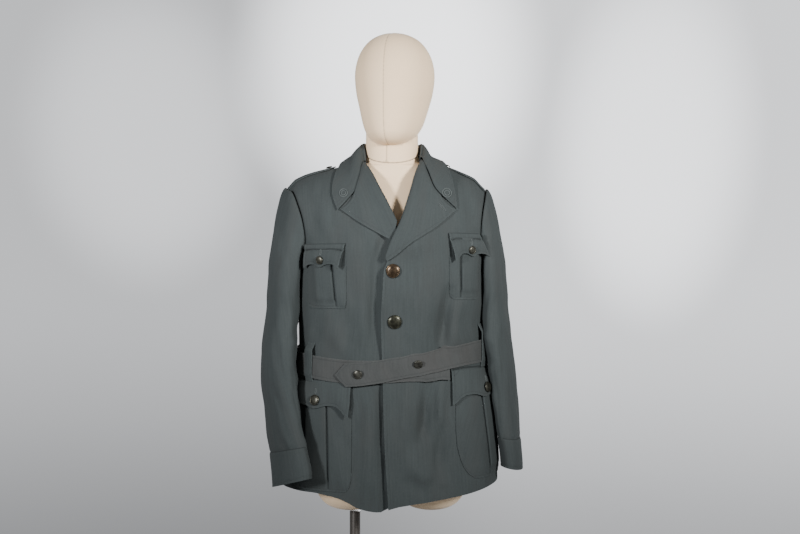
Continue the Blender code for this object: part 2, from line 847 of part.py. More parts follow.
def collar_column(fall, share):
    """One cross-section of the collar from the foot of its stand over the fold to the fall's edge."""
    fold = fall[0]
    out = Vector((fold.x, fold.y - NECK_MIDDLE[0], 0)).normalized()
    tall = STAND_HEIGHT * (1 - STAND_DROP * share**3)
    inner = fold - out * 2 * FOLD_RADIUS - Vector((0, 0, FOLD_RADIUS))
    column = []
    for row in range(STAND_ROWS + 1):
        column.append(inner + Vector((0, 0, -tall * (1 - row / STAND_ROWS))))
    for turn in (45, 90, 135):
        angle = math.radians(turn)
        column.append(
            fold
            - out * FOLD_RADIUS * (1 + math.cos(angle))
            + Vector((0, 0, FOLD_RADIUS * (math.sin(angle) - 1)))
        )
    return column + fall[1:]


def make_collar():
    right, left = collar_half("right"), collar_half("left")
    columns = []
    for number in range(COLLAR_COLUMNS, 0, -1):
        columns.append(collar_column(right[number], number / COLLAR_COLUMNS))
    for number in range(COLLAR_COLUMNS + 1):
        columns.append(collar_column(left[number], number / COLLAR_COLUMNS))
    rows = [list(row) for row in zip(*columns)]
    cloth("collar", rows[::-1], centred=True)


# ---- Shoulder straps ----

STRAP_HALF = 0.021
STRAP_OUT = 0.0032
STRAPS = {
    "right": {"outer": 0.2200, "inner": 0.1230},
    "left": {"outer": 0.1910, "inner": 0.0985},
}
STRAP_POINT = 0.016
STRAP_ROWS = 4
STRAP_COLUMNS = 8


def strap_point(side, across, forward, out):
    """A place over the shoulder line, by how far it is in front of it."""
    plan = Vector((SIGN[side] * across, -forward, 0))
    plan.z = height_over(plan.x, plan.y)
    return keep_clear(plan, out)


def make_strap(side):
    ends = STRAPS[side]
    rows = []
    for row in range(STRAP_ROWS + 1):
        aside = 2 * row / STRAP_ROWS - 1
        forward = STRAP_HALF * aside
        tip = ends["inner"] + STRAP_POINT * abs(aside)
        line = []
        for step in range(STRAP_COLUMNS + 1):
            across = ends["outer"] + (tip - ends["outer"]) * step / STRAP_COLUMNS
            line.append(strap_point(side, across, forward, STRAP_OUT))
        rows.append(line)
    if side == "left":
        rows = rows[::-1]
    cloth(f"shoulder_strap_{side}", rows)


# ---- Pockets and flaps ----

PATCH_OUT = LAYER
PLEAT_OUT = 0.0028
CORNER = 0.018
# Distances round the body from the centre front, heights, and the pleat's middle and half-width.
POCKETS = Table(
    "order inner outer top bottom pleat pleat_half",
    (0, -0.0965, -0.1950, 1.3450, 1.2400, -0.1540, 0.0270),
    (1, 0.1170, 0.1990, 1.3600, 1.2600, 0.1640, 0.0260),
    (2, -0.0850, -0.2500, 1.0600, 0.8690, -0.1700, 0.0260),
    (3, 0.1300, 0.2950, 1.0840, 0.8860, 0.2200, 0.0260),
)
POCKET_NAMES = ("chest_pocket_right", "chest_pocket_left", "skirt_pocket_right", "skirt_pocket_left")
POCKET_LOW_ROWS = 0.85  # puts the rows at the rounded corners closer together
PLEAT_STEP = 0.0025  # half of the width over which a pleat's edge rises
NEAR_SHARES = (0, 0.09, 0.35, 0.7)  # columns from a pocket's inner edge to its pleat
FAR_SHARES = (0.3, 0.65, 0.91, 1)


def pocket_columns(row):
    """Column places over a pocket with the pleat's two steps in it."""
    _, inner, outer, _, _, pleat, half = row
    sign = 1 if outer > inner else -1
    first, last = pleat - sign * half, pleat + sign * half
    step = sign * PLEAT_STEP
    near = [inner + (first - inner) * share for share in NEAR_SHARES]
    far = [last + (outer - last) * share for share in FAR_SHARES]
    middle = [first - step, first + step, pleat, last - step, last + step]
    return near + middle + far


def make_pocket(name, row, row_count):
    _, inner, outer, top, bottom, pleat, half = row
    sign = 1 if outer > inner else -1
    columns = pocket_columns(row)
    rows = []
    for number in range(row_count + 1):
        line = []
        for distance in columns:
            edge = min(abs(distance - inner), abs(outer - distance))
            cut = max(0.0, 1 - edge / CORNER)
            low = bottom + CORNER * (1 - math.sqrt(1 - cut * cut))
            share = (number / row_count) ** POCKET_LOW_ROWS
            height = low + (top - low) * share
            raised = PLEAT_OUT if abs(distance - pleat) < half else 0.0
            line.append(on_body(distance, height, PATCH_OUT + raised))
        rows.append(line)
    if sign < 0:
        rows = [line[::-1] for line in rows]
    cloth(name, rows)


FLAP_OUT = 0.0036  # at its top seam
FLAP_LOW_OUT = 0.0098  # at its lower edge, over the pocket and its pleat
FLAP_STEEP = 0.75  # share of the way down at which it is all the way out
# Both ends of each flap along its top and along its lower edge. Past the distance in the last column it
# stands straight off instead of following the body.
FLAPS = Table(
    "order inner outer low_inner low_outer top bottom straight",
    (0, -0.0975, -0.1960, -0.1130, -0.2010, 1.3730, 1.3240, -0.170),
    (1, 0.1145, 0.1860, 0.1320, 0.2160, 1.3950, 1.3460, 0.140),
    (2, -0.0830, -0.2400, -0.0950, -0.2360, 1.1040, 1.0330, -0.250),
    (3, 0.1190, 0.2930, 0.1290, 0.2870, 1.1280, 1.0530, 0.290),
)
FLAP_NAMES = ("chest_flap_right", "chest_flap_left", "skirt_flap_right", "skirt_flap_left")
FLAP_POINT = 0.006
FLAP_COLUMNS = 12
FLAP_ROWS = 4


def flap_edge(share):
    """Lower edge of a three-pointed flap: its corners and its middle hang, the rest curves up."""
    return FLAP_POINT * (0.5 - 0.5 * math.cos(4 * math.pi * share))


def flap_point(distance, height, out, straight):
    """A place on a flap, which leaves the body in a straight line past a distance round it."""
    past = abs(distance) - abs(straight)
    if past <= 0:
        return on_body(distance, height, out)
    step = math.copysign(0.002, distance)
    edge = on_body(straight, height, out)
    return edge + (edge - on_body(straight - step, height, out)).normalized() * past


def make_flap(name, row):
    _, inner, outer, low_inner, low_outer, top, bottom, straight = row
    rows = []
    for number in range(FLAP_ROWS + 1):
        share_down = 1 - number / FLAP_ROWS
        start = inner + (low_inner - inner) * share_down
        end = outer + (low_outer - outer) * share_down
        line = []
        for step in range(FLAP_COLUMNS + 1):
            share = step / FLAP_COLUMNS
            low = bottom + flap_edge(share)
            height = top + (low - top) * share_down
            out = FLAP_OUT + (FLAP_LOW_OUT - FLAP_OUT) * smooth(share_down / FLAP_STEEP)
            line.append(flap_point(start + (end - start) * share, height, out, straight))
        rows.append(line)
    if outer < inner:
        rows = [line[::-1] for line in rows]
    cloth(name, rows)


# ---- Belt ----

BELT_WIDTH = 0.048
BELT_OUT = 0.0082
BELT_OVER = 0.0033
BELT_UNDER = Table(  # middle of the under end, from its hidden end towards the wearer's right
    "along height",
    (-0.60, 1.138),
    (-0.30, 1.130),
    (-0.18, 1.1190),
    (-0.12, 1.1120),
    (-0.06, 1.1090),
    (0.02, 1.1135),
    (0.115, 1.1165),
)
BELT_UPPER = Table(
    "along height",
    (-0.135, 1.1020),
    (-0.07, 1.1045),
    (0.00, 1.1160),
    (0.08, 1.1310),
    (0.14, 1.1430),
    (0.20, 1.1480),
    (0.32, 1.1500),
    (0.60, 1.138),
)
BELT_TIP = -0.1300
BELT_END = 0.1150
BELT_POINT = 0.022
BELT_STEP = 0.027
BELT_ROWS = 4
BELT_SETTLE = (0.01, 0.05)  # past the under end the upper one comes down: where it starts, over how far


def belt_line(offset):
    """Points of the belt along one line across its width, from its under end to its tip."""
    points = []
    height = BELT_UNDER.at(-0.3, "height")
    back_right, back_left = half_round("right", height), half_round("left", height)
    runs = ((BELT_END, -back_right, BELT_UNDER), (back_left, BELT_TIP, BELT_UPPER))
    for number, (start, end, table) in enumerate(runs):
        if number:
            end += BELT_POINT * abs(2 * offset / BELT_WIDTH)
        count = round(abs(runs[number][1] - start) / BELT_STEP)
        for step in range(number, count + 1):
            along = start + (end - start) * step / count
            middle = table.at(along, "height")
            out = BELT_OUT
            if number:
                out += BELT_OVER * (1 - smooth((along - BELT_END - BELT_SETTLE[0]) / BELT_SETTLE[1]))
            points.append(on_body(along, middle + offset, out))
    return points


def make_belt():
    rows = [belt_line(BELT_WIDTH * (row / BELT_ROWS - 0.5)) for row in range(BELT_ROWS + 1)]
    cloth("belt", rows[::-1], BELT_CLOTH)


LOOPS = Table(
    "order along middle half_height",
    (0, -0.1870, 1.1270, 0.0420),
    (1, 0.2050, 1.1600, 0.0460),
)
LOOP_HALF_WIDTH = 0.0100
LOOP_OUT = 0.0112  # over the belt
LOOP_TOP_OUT = 0.0027
LOOP_FOOT_OUT = 0.0076  # over the pocket flap
LOOP_ROWS = 8
LOOP_FLAT = 0.75  # share of its half-height that is over the belt


def make_loop(name, row):
    _, along, middle, half_height = row
    rows = []
    for step in range(LOOP_ROWS + 1):
        share = 2 * step / LOOP_ROWS - 1
        end_out = LOOP_FOOT_OUT if share < 0 else LOOP_TOP_OUT
        out = LOOP_OUT + (end_out - LOOP_OUT) * smooth((abs(share) - LOOP_FLAT) / (1 - LOOP_FLAT))
        line = []
        for side in (-1, 0, 1):
            line.append(on_body(along + side * LOOP_HALF_WIDTH, middle + share * half_height, out))
        rows.append(line)
    cloth(name, rows)


# ---- Buttons ----


def facing(point, direction):
    """A place whose Z axis points in this direction."""
    turn = Vector((0, 0, 1)).rotation_difference(direction)
    return Matrix.Translation(point) @ turn.to_matrix().to_4x4()


def button_profile(radius, height):
    """Domed face, rolled rim and flat back."""
    return (
        (0, height),
        (radius * 0.45, height * 0.93),
        (radius * 0.78, height * 0.72),
        (radius * 0.94, height * 0.48),
        (radius, height * 0.24),
        (radius * 0.93, 0.0),
        (0, 0.0),
    )


BUTTON_STEPS = 14


def make_button(name, point, direction, radius):
    profile = button_profile(radius, radius * BUTTON_DOME)
    turned(name, profile, BRONZE, facing(point, direction), BUTTON_STEPS)


BUTTON_CLEAR = 0.0008  # from the cloth under a button
BUTTON_DOME = 0.42  # a button's height for its radius
FRONT_BUTTONS = (("button_front_upper", 0.0, 1.3171), ("button_front_lower", 0.003, 1.2133))
FRONT_BUTTON_RADIUS = 0.0145
BELT_BUTTONS = (("button_belt_end", -0.0700), ("button_belt_middle", 0.0500))
BELT_BUTTON_RADIUS = 0.0095
STRAP_BUTTON_RADIUS = 0.0085
STRAP_BUTTON_IN = 0.016  # from the strap's point
STRAP_BUTTON_OUT = 0.0024  # over the strap, whose curve it must clear


def make_front_buttons():
    for name, across, height in FRONT_BUTTONS:
        base = front_out(across, height, BUTTON_CLEAR)
        direction = (front_out(across, height, 1.0) - front_out(across, height, 0.0)).normalized()
        make_button(name, base - Vector((0, lift(across, height), 0)), direction, FRONT_BUTTON_RADIUS)


POCKET_BUTTONS = Table(
    "order along height radius out",
    (0, -0.1500, 1.3400, 0.0085, 0.0104),
    (1, 0.1650, 1.3610, 0.0085, 0.0104),
    (2, -0.1600, 1.0550, 0.0110, 0.0104),
    (3, 0.2070, 1.0720, 0.0110, 0.0104),
)


def make_pocket_buttons():
    for name, row in zip(FLAP_NAMES, POCKET_BUTTONS.rows):
        _, along, height, radius, out = row
        straight = FLAPS.at(row[0], "straight")
        place = flap_point(along, height, out, straight)
        higher = flap_point(along, height, out + 0.01, straight)
        make_button(f"button_{name}", place, (higher - place).normalized(), radius)


def make_belt_buttons():
    for name, along in BELT_BUTTONS:
        height = BELT_UPPER.at(along, "height")
        point = on_body(along, height, BELT_OUT + BELT_OVER + BUTTON_CLEAR)
        make_button(name, point, outward(along, height), BELT_BUTTON_RADIUS)


def make_strap_buttons():
    for side in ("right", "left"):
        across = STRAPS[side]["inner"] + STRAP_BUTTON_IN
        out = STRAP_OUT + STRAP_BUTTON_OUT
        point = strap_point(side, across, 0.0, out)
        higher = strap_point(side, across, 0.0, out + 0.01)
        make_button(f"button_strap_{side}", point, (higher - point).normalized(), STRAP_BUTTON_RADIUS)


# ---- Dress form and stand ----

FORM = Table(
    "height right left front back",
    (0.8750, 0.185, 0.178, 0.112, 0.118),
    (0.9200, 0.194, 0.186, 0.118, 0.124),
    (0.9800, 0.196, 0.188, 0.120, 0.122),
    (1.0500, 0.186, 0.180, 0.112, 0.110),
    (1.1300, 0.168, 0.160, 0.100, 0.092),
    (1.2000, 0.172, 0.160, 0.106, 0.098),
    (1.2800, 0.182, 0.174, 0.122, 0.114),
    (1.3600, 0.185, 0.178, 0.120, 0.117),
    (1.4200, 0.184, 0.176, 0.104, 0.112),
    (1.4600, 0.180, 0.171, 0.086, 0.099),
    (1.4900, 0.170, 0.160, 0.069, 0.083),
    (1.5080, 0.154, 0.144, 0.058, 0.071),
    (1.5220, 0.128, 0.119, 0.052, 0.064),
    (1.5350, 0.092, 0.088, 0.050, 0.0580),
    (1.5460, 0.0680, 0.0670, 0.0505, 0.0560),
    (1.5560, 0.0590, 0.0580, 0.0510, 0.0550),
    (1.5720, 0.0570, 0.0570, 0.0510, 0.0550),
)
FORM_POINTS = 20
NECK_FOOT = 1.5380
NECK_TOP = 1.5720
NECK_SLOPE = 0.50  # the neck seam drops towards the front
NECK_SHIFT = Vector((-0.0035, 0.004, 0))  # of the neck from the middle of the shoulders


def form_ring(height, grow=0.0):
    ring = []
    for step in range(FORM_POINTS):
        turn = 2 * math.pi * step / FORM_POINTS
        side = "left" if math.cos(turn) >= 0 else "right"
        deep = FORM.at(height, "back" if math.sin(turn) > 0 else "front")
        across = math.cos(turn) * (FORM.at(height, side) + grow)
        forward = math.sin(turn) * (deep + grow)
        upper = smooth((height - NECK_FOOT) / (NECK_TOP - NECK_FOOT))
        place = Vector((across, forward, height + NECK_SLOPE * forward * upper))
        ring.append(place + NECK_SHIFT * upper)
    return ring


def make_form_torso():
    heights = [0.875, 0.90, 0.94, 0.98, 1.03, 1.08, 1.13, 1.19, 1.25, 1.31, 1.36, 1.41, 1.45]
    heights += [1.48, 1.50, 1.515, 1.53, 1.543, 1.555, NECK_TOP]
    solid("form_torso", [form_ring(height) for height in heights], COVER)


THIGH_MIDDLE = 0.0870
THIGHS = Table(
    "height half_width half_depth",
    (0.7950, 0.0140, 0.0150),
    (0.7970, 0.0420, 0.0460),
    (0.8030, 0.0610, 0.0680),
    (0.8150, 0.0740, 0.0840),
    (0.8350, 0.0815, 0.0950),
    (0.8747, 0.0840, 0.1010),
)


def make_thigh(side):
    rings = []
    for height, half_width_here, half_depth in THIGHS.rows:
        ring = []
        for step in range(16):
            turn = 2 * math.pi * step / 16
            across = SIGN[side] * THIGH_MIDDLE + math.cos(turn) * half_width_here
            ring.append(Vector((across, math.sin(turn) * half_depth, height)))
        rings.append(ring)
    solid(f"form_thigh_{side}", rings, COVER)


HEAD = Table(
    "height half_width front back",
    (1.5780, 0.0180, 0.0650, -0.0250),
    (1.5850, 0.0350, 0.0840, 0.0050),
    (1.5980, 0.0490, 0.0950, 0.0350),
    (1.6160, 0.0580, 0.1000, 0.0580),
    (1.6400, 0.0660, 0.1030, 0.0780),
    (1.6700, 0.0740, 0.1040, 0.0930),
    (1.7050, 0.0825, 0.1040, 0.1030),
    (1.7420, 0.0860, 0.1020, 0.1070),
    (1.7720, 0.0815, 0.0950, 0.1020),
    (1.7950, 0.0715, 0.0830, 0.0900),
    (1.8140, 0.0560, 0.0640, 0.0710),
    (1.8260, 0.0350, 0.0400, 0.0440),
    (1.8310, 0.0120, 0.0140, 0.0150),
)
# The neck's top inside the head: its height, its shares of the ring's width and depth, and its shift.
NECK_INSIDE = 1.660
NECK_INSIDE_SIZE = (0.99, 0.93)
NECK_INSIDE_SHIFT = 0.004
NECK_MIDWAY = 0.45
HEAD_TURN = math.radians(-13)
HEAD_MIDDLE = Vector((0.0025, 0.006, 0))


def make_form_head():
    rings = []
    for height, half_width_here, front, back in HEAD.rows:
        ring = []
        for step in range(20):
            turn = 2 * math.pi * step / 20
            middle, deep = (back - front) / 2, (back + front) / 2
            place = Vector((math.cos(turn) * half_width_here, middle + math.sin(turn) * deep, height))
            ring.append(Matrix.Rotation(HEAD_TURN, 3, "Z") @ place + HEAD_MIDDLE)
        rings.append(ring)
    head = solid("form_head", rings, COVER)
    foot = [point + Vector((0, 0, GAP)) for point in form_ring(NECK_TOP)]
    wide, deep = NECK_INSIDE_SIZE
    top = [Vector((point.x * wide, point.y * deep + NECK_INSIDE_SHIFT, NECK_INSIDE)) for point in foot]
    middle = [first.lerp(second, NECK_MIDWAY) for first, second in zip(foot, top)]
    neck = solid("neck", [foot, middle, top], COVER)
    OBJECTS.objects.unlink(neck)
    CUTTERS.objects.link(neck)
    neck.hide_render = True
    neck.display_type = "WIRE"
    join = head.modifiers.new("Neck", "BOOLEAN")
    join.operation = "UNION"
    join.object = neck


POLE_ACROSS = -0.0840
POLE_RADIUS = 0.0115
BASE_RADIUS = 0.2100
BASE_THICK = 0.0100


def make_stand():
    rim = 0.003
    turned(
        "stand_base",
        (
            (0, BASE_THICK),
            (BASE_RADIUS - rim, BASE_THICK),
            (BASE_RADIUS, BASE_THICK - rim),
            (BASE_RADIUS, 0),
            (0, 0),
        ),
        BASE_STEEL,
        steps=48,
    )
    top = THIGHS.keys[0] - GAP
    low = BASE_THICK + GAP
    turned(
        "stand_pole",
        (
            (0, top),
            (POLE_RADIUS, top),
            (POLE_RADIUS, low + 0.030),
            (0.0200, low + 0.026),
            (0.0300, low + 0.006),
            (0.0300, low),
            (0, low),
        ),
        POLE_STEEL,
        Matrix.Translation((POLE_ACROSS, 0, 0)),
        steps=24,
    )


def main():
    make_back()
    for side in ("right", "left"):
        make_front(side)
        make_sleeve(side)
        make_cuff(side)
        make_lapel(side)
        make_strap(side)
        make_thigh(side)
    make_collar()
    for name, row in zip(POCKET_NAMES, POCKETS.rows):
        make_pocket(name, row, 5 if "chest" in name else 8)
    for name, row in zip(FLAP_NAMES, FLAPS.rows):
        make_flap(name, row)
    make_belt()
    for name, row in zip(("belt_loop_right", "belt_loop_left"), LOOPS.rows):
        make_loop(name, row)
    make_front_buttons()
    make_pocket_buttons()
    make_belt_buttons()
    make_strap_buttons()
    make_form_torso()
    make_form_head()
    make_stand()


main()
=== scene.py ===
"""Looks of a military dress tunic on a limbless dress form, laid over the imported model.

Metres, +Z up. The front faces -Y and the wearer's left is +X. Each piece of cloth is a thin shell on its
own solid's form. Its points come from the same body form, tables and sizes as the solids, with creases,
rolled edges and seams added, so that pockets, flaps and belt follow the cloth that they lie on. Tables
made by millimetres and in_metres are written in millimetres, and angles are in degrees.
"""

import functools
import math

import bmesh
import bpy
import numpy as np
from bpy.props import FloatProperty, FloatVectorProperty, IntProperty, PointerProperty
from mathutils import Matrix, Vector
from mathutils.bvhtree import BVHTree
from mathutils.kdtree import KDTree


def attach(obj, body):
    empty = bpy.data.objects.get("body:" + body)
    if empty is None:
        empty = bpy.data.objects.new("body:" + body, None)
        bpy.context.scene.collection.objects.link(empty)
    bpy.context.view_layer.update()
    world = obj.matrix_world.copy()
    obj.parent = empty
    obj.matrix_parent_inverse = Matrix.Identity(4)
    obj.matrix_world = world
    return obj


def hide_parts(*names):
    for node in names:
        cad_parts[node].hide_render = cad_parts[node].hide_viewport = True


bl_info = {
    "name": "Dress tunic on a form",
    "version": (1, 0, 0),
    "blender": (4, 5, 0),
    "location": "View3D > Sidebar > Tunic",
    "description": "Dresses the packed tunic, its form and stand with cloth, thread, bronze and light",
    "category": "Object",
}

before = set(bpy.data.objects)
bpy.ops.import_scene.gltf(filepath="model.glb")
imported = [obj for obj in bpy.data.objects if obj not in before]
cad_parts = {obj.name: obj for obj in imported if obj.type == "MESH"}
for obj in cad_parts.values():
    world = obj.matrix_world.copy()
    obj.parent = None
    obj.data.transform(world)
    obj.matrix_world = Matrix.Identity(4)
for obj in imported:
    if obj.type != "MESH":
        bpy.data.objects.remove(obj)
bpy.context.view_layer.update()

# ---- Sizes and colours that a user would change ----


def metres(name, description, default, low=0.0, high=1.0):
    return FloatProperty(
        name=name, description=description, default=default, min=low, max=high, unit="LENGTH", precision=4
    )


def colour(name, description, default):
    return FloatVectorProperty(
        name=name, description=description, default=default, min=0.0, max=1.0, size=3, subtype="COLOR"
    )


class TunicSizes(bpy.types.PropertyGroup):
    """Sizes of the sewing and of the folds."""

    wall: metres("Cloth", "Thickness of one layer of cloth", 0.0019)
    stitch_pitch: metres("Stitch pitch", "From one stitch to the next", 0.0031)
    stitch_length: metres("Stitch length", "Length of thread that shows", 0.0023)
    thread: metres("Thread", "Thickness of the sewing thread", 0.0006)
    inset: metres("Stitch inset", "From a finished edge to its row of stitches", 0.0058)
    crease: FloatProperty(
        name="Creases", description="Share of the creases' full depth", default=1.0, min=0.0, max=1.5
    )
    seed: IntProperty(name="Seed", description="Changes the small unevenness of the cloth", default=7)


class TunicColours(bpy.types.PropertyGroup):
    """Colours of the cloth, metal, cover and background."""

    cloth: colour("Cloth", "Grey-green wool", (0.0366, 0.0432, 0.0437))
    belt: colour("Belt", "Browner grey wool of the belt", (0.0436, 0.0464, 0.0460))
    thread: colour("Thread", "Sewing thread", (0.040, 0.046, 0.046))
    bronze: colour("Bronze", "Darkened bronze of the buttons", (0.040, 0.030, 0.018))
    cover: colour("Form cover", "Cream cotton of the dress form", (0.84, 0.636, 0.422))
    pole: colour("Pole", "Dark brown steel", (0.050, 0.044, 0.038))
    base: colour("Base", "Pale grey paint", (0.55, 0.54, 0.52))
    wall: colour("Backdrop", "Pale grey wall", (0.60, 0.61, 0.63))
    floor: colour("Floor", "Pale grey floor", (0.62, 0.62, 0.62))


def sizes():
    return bpy.context.scene.tunic_sizes


def colours():
    return bpy.context.scene.tunic_colours


# ---- Tables and the form of the body ----

ARM_HEIGHT = 1.315  # lowest point of the armholes
NECK_HALF = 0.066  # half-width of the neckline on the shoulder line
NECK_BACK = 0.074  # depth of the neckline behind the shoulder line
SQUARE = 2.4  # squareness of the body's sections
FRONT_CREST = (2.4, 0.60)  # how the chest falls back to the shoulder line
BACK_CREST = (3.2, 0.55)  # how the back comes forward to it
SIGN = {"right": -1, "left": 1}
MM = 0.001


def in_metres(*rows):
    """Numbers given in millimetres."""
    return np.array(rows, float) * MM


class Table:
    """Rows with named columns in these units, read smoothly between the rows by the first column."""

    def __init__(self, units, names, *rows):
        rows = np.array(rows, float) * units
        self.names, self.rows = names.split(), rows.tolist()
        self.columns = dict(zip(self.names, rows.T))
        self.keys = self.columns[self.names[0]]

    def at(self, key, name):
        keys, values = self.keys, self.columns[name]
        spans = np.diff(keys)
        slopes = np.diff(values) / spans
        both = slopes[:-1] * slopes[1:]
        total = np.where(both > 0, slopes[:-1] + slopes[1:], 1.0)
        tangents = np.concatenate([[0.0], np.where(both > 0, 2 * both / total, 0.0), [0.0]])
        key = np.clip(np.asarray(key, float), keys[0], keys[-1])
        low = np.clip(np.searchsorted(keys, key, side="right") - 1, 0, len(keys) - 2)
        part = (key - keys[low]) / spans[low]
        start, end = tangents[low] * spans[low], tangents[low + 1] * spans[low]
        rise = values[low + 1] - values[low]
        return values[low] + part * start + part**2 * (3 * rise - 2 * start - end) + part**3 * (
            start + end - 2 * rise
        )


millimetres = functools.partial(Table, MM)

# Outside of the tunic: half-widths to the wearer's right and left, depths to the front and back.
BODY = millimetres(
    "height right left front back",
    (800, 243, 227, 158, 150),
    (870, 240, 225, 157, 149),
    (950, 232, 222, 152, 145),
    (1040, 220, 213, 143, 135),
    (1090, 210, 204, 134, 122),
    (1140, 204.5, 196, 127, 112),
    (1200, 205, 195.5, 131, 117),
    (1260, 206, 198.5, 139, 127),
    (1315, 206, 197.5, 143, 134),
)
SHOULDER_SPREAD = {"right": 0.262, "left": 0.236}  # half-widths of the sections at the shoulder line
SHOULDER = {
    "right": millimetres(
        "across height",
        (0, 1566), (66, 1560), (113, 1544), (139, 1537), (184, 1525), (211, 1513), (230, 1497),
    ),
    "left": millimetres(
        "across height",
        (0, 1566), (66, 1560), (86, 1552), (114, 1541), (144, 1529), (172, 1516), (198, 1494),
    ),
}
# Armhole seam: share of the way up from the armpit to the shoulder line, and how far across.
ARMHOLE = {
    "right": Table(
        (1, MM), "rise across",
        (0.00, 206), (0.06, 198.5), (0.16, 189), (0.32, 184), (0.50, 189), (0.70, 201), (0.88, 215),
        (1.00, 230),
    ),
    "left": Table(
        (1, MM), "rise across",
        (0.00, 197.5), (0.06, 193), (0.16, 187), (0.32, 183.5), (0.50, 184.5), (0.70, 188.5),
        (0.88, 194.5), (1.00, 198),
    ),
}
# Height of the hem round the skirt, in degrees from the centre front towards the wearer's left.
HEM = Table(
    (1, MM), "turn height",
    (-180, 860), (-90, 860), (-60, 863.5), (-40, 863.5), (-25, 857), (-19, 849), (-13, 837), (-4, 830),
    (-1, 837), (2, 842), (20, 852.5), (40, 861), (65, 869.5), (90, 872), (180, 860),
)
# Inner edge of each front: straight up to the break, then the roll line to the neck.
FRONT_EDGE = millimetres(
    "height left right",
    (800, -8, 30), (974, -16.5, 30), (1135, -21.5, 30), (1220, -23.8, 31), (1280, -20.3, 33),
    (1339, -17, 34), (1381, -2.9, 26.3), (1415, 13.5, 10.1), (1451, 25.7, -8), (1489.5, 37.2, -28.2),
    (1523.6, 46.8, -45.2), (1560, 66, -66),
)
# The larger soft folds of the fronts, as in the solids.
FOLDS = millimetres(
    "top top_across bottom bottom_across half_width depth",
    (1370, -44, 1120, -36, 16, -3),
    (1255, 150, 1150, 95, 26, -3.5),
    (1080, 64, 900, 68, 16, -4),
    (1080, 98, 880, 100, 20, -4),
    (1060, -58, 850, -62, 18, 3.5),
)
# Creases placed one by one: two ends as (across, height), how far the middle bows, half-width and depth.
CREASES = millimetres(
    "across height to_across to_height bow half_width depth",
    (-68, 1340, -56, 1150, -4, 15, 3.4),
    (-95, 1245, -88, 1150, 3, 13, -3.6),
    (78, 1320, 58, 1150, 4, 15, 5),
    (118, 1290, 97, 1140, 4, 12, -16.5),
    (144, 1262, 122, 1150, 4, 13, 8.5),
    (25, 1190, 48, 1140, 2, 9, -2.2),
    (68, 1100, 52, 955, -4, 11, -15),
    (85, 1098, 84, 1000, 1, 5.5, -5),
    (100, 1098, 95, 950, 2, 10, 9.5),
    (98, 1010, 93, 885, 2, 12, -11.5),
    (30, 1095, 20, 930, 2, 13, 6),
    (-52, 1094, -50, 840, -3, 12, 6),
    (25, 945, 85, 890, 6, 18, 7),
    (20, 900, 70, 855, -4, 12, -4.5),
    (70, 900, 115, 865, 4, 10, -4),
    (-140, 1225, -170, 1150, 4, 12, -3.6),
    (-118, 1220, -105, 1145, 3, 11, 3),
    (-175, 1455, -150, 1395, 6, 14, -3),
    (-150, 1440, -125, 1390, 4, 12, 2),
    (148, 1475, 162, 1405, -4, 12, -2.6),
    (138, 1210, 154, 1165, 2, 8, 2.6),
    (-90, 1395, -60, 1345, 4, 15, 1.8),
)
BACK_CREASES = millimetres(
    "across height to_across to_height bow half_width depth",
    (-150, 1300, -85, 1165, 10, 17, -4),
    (-105, 1290, -55, 1160, 6, 14, 3),
    (145, 1310, 90, 1165, -12, 18, -4.2),
    (105, 1270, 60, 1160, -6, 12, 2.8),
    (-20, 1235, -10, 1150, 3, 10, -2.4),
    (26, 1220, 20, 1150, 2, 10, 2),
    (-120, 1095, -135, 930, 6, 14, -5.2),
    (-90, 1095, -95, 900, 3, 12, 4.4),
    (-45, 1090, -52, 960, 2, 11, -4.4),
    (5, 1095, 2, 910, 4, 15, 4),
    (48, 1090, 60, 945, -4, 12, -5),
    (90, 1095, 108, 905, -3, 12, 4),
    (135, 1090, 148, 965, -5, 13, -4.4),
    (-150, 1480, -100, 1430, 10, 15, -2.2),
    (140, 1470, 95, 1420, -10, 15, -2.2),
)


def smooth(value):
    value = np.clip(value, 0.0, 1.0)
    return value * value * (3 - 2 * value)


def hump(value, width):
    return np.exp(-((value / width) ** 2))


def by_side(across, read):
    return np.where(across >= 0, read("left"), read("right"))


CREASE_END = 0.8  # how bluntly a crease ends


def crease_depth(table, across, height):
    """How far a table of creases moves the cloth out at each place."""
    moved = np.zeros(np.broadcast(across, height).shape)
    for x0, z0, x1, z1, bow, half_width, depth in table.rows:
        run = np.array((x1 - x0, z1 - z0))
        length = np.hypot(*run)
        along = ((across - x0) * run[0] + (height - z0) * run[1]) / length**2
        aside = ((across - x0) * run[1] - (height - z0) * run[0]) / length
        inside = np.clip(along, 0, 1)
        ends = np.sin(np.pi * inside) ** CREASE_END
        moved += depth * ends * hump(aside - bow * 4 * inside * (1 - inside), half_width)
    return moved * sizes().crease


def fold_depth(across, height):
    """The soft folds that the solids have too."""
    moved = np.zeros(np.broadcast(across, height).shape)
    for top, top_across, bottom, bottom_across, half_width, depth in FOLDS.rows:
        along = np.clip((top - height) / (top - bottom), 0, 1)
        middle = top_across + (bottom_across - top_across) * along
        moved += depth * np.sin(np.pi * along) * hump(across - middle, half_width)
    return moved


RIPPLES = (0.041, 0.057, 0.083, 0.121)  # lengths of the waves of the cloth's unevenness
RIPPLE_DEPTH = 0.0016
RIPPLE_TURN = 0.9  # how far the waves turn off, either way
RIPPLE_SWAY = (0.8, 1.7)  # how much and how slowly each wave sways


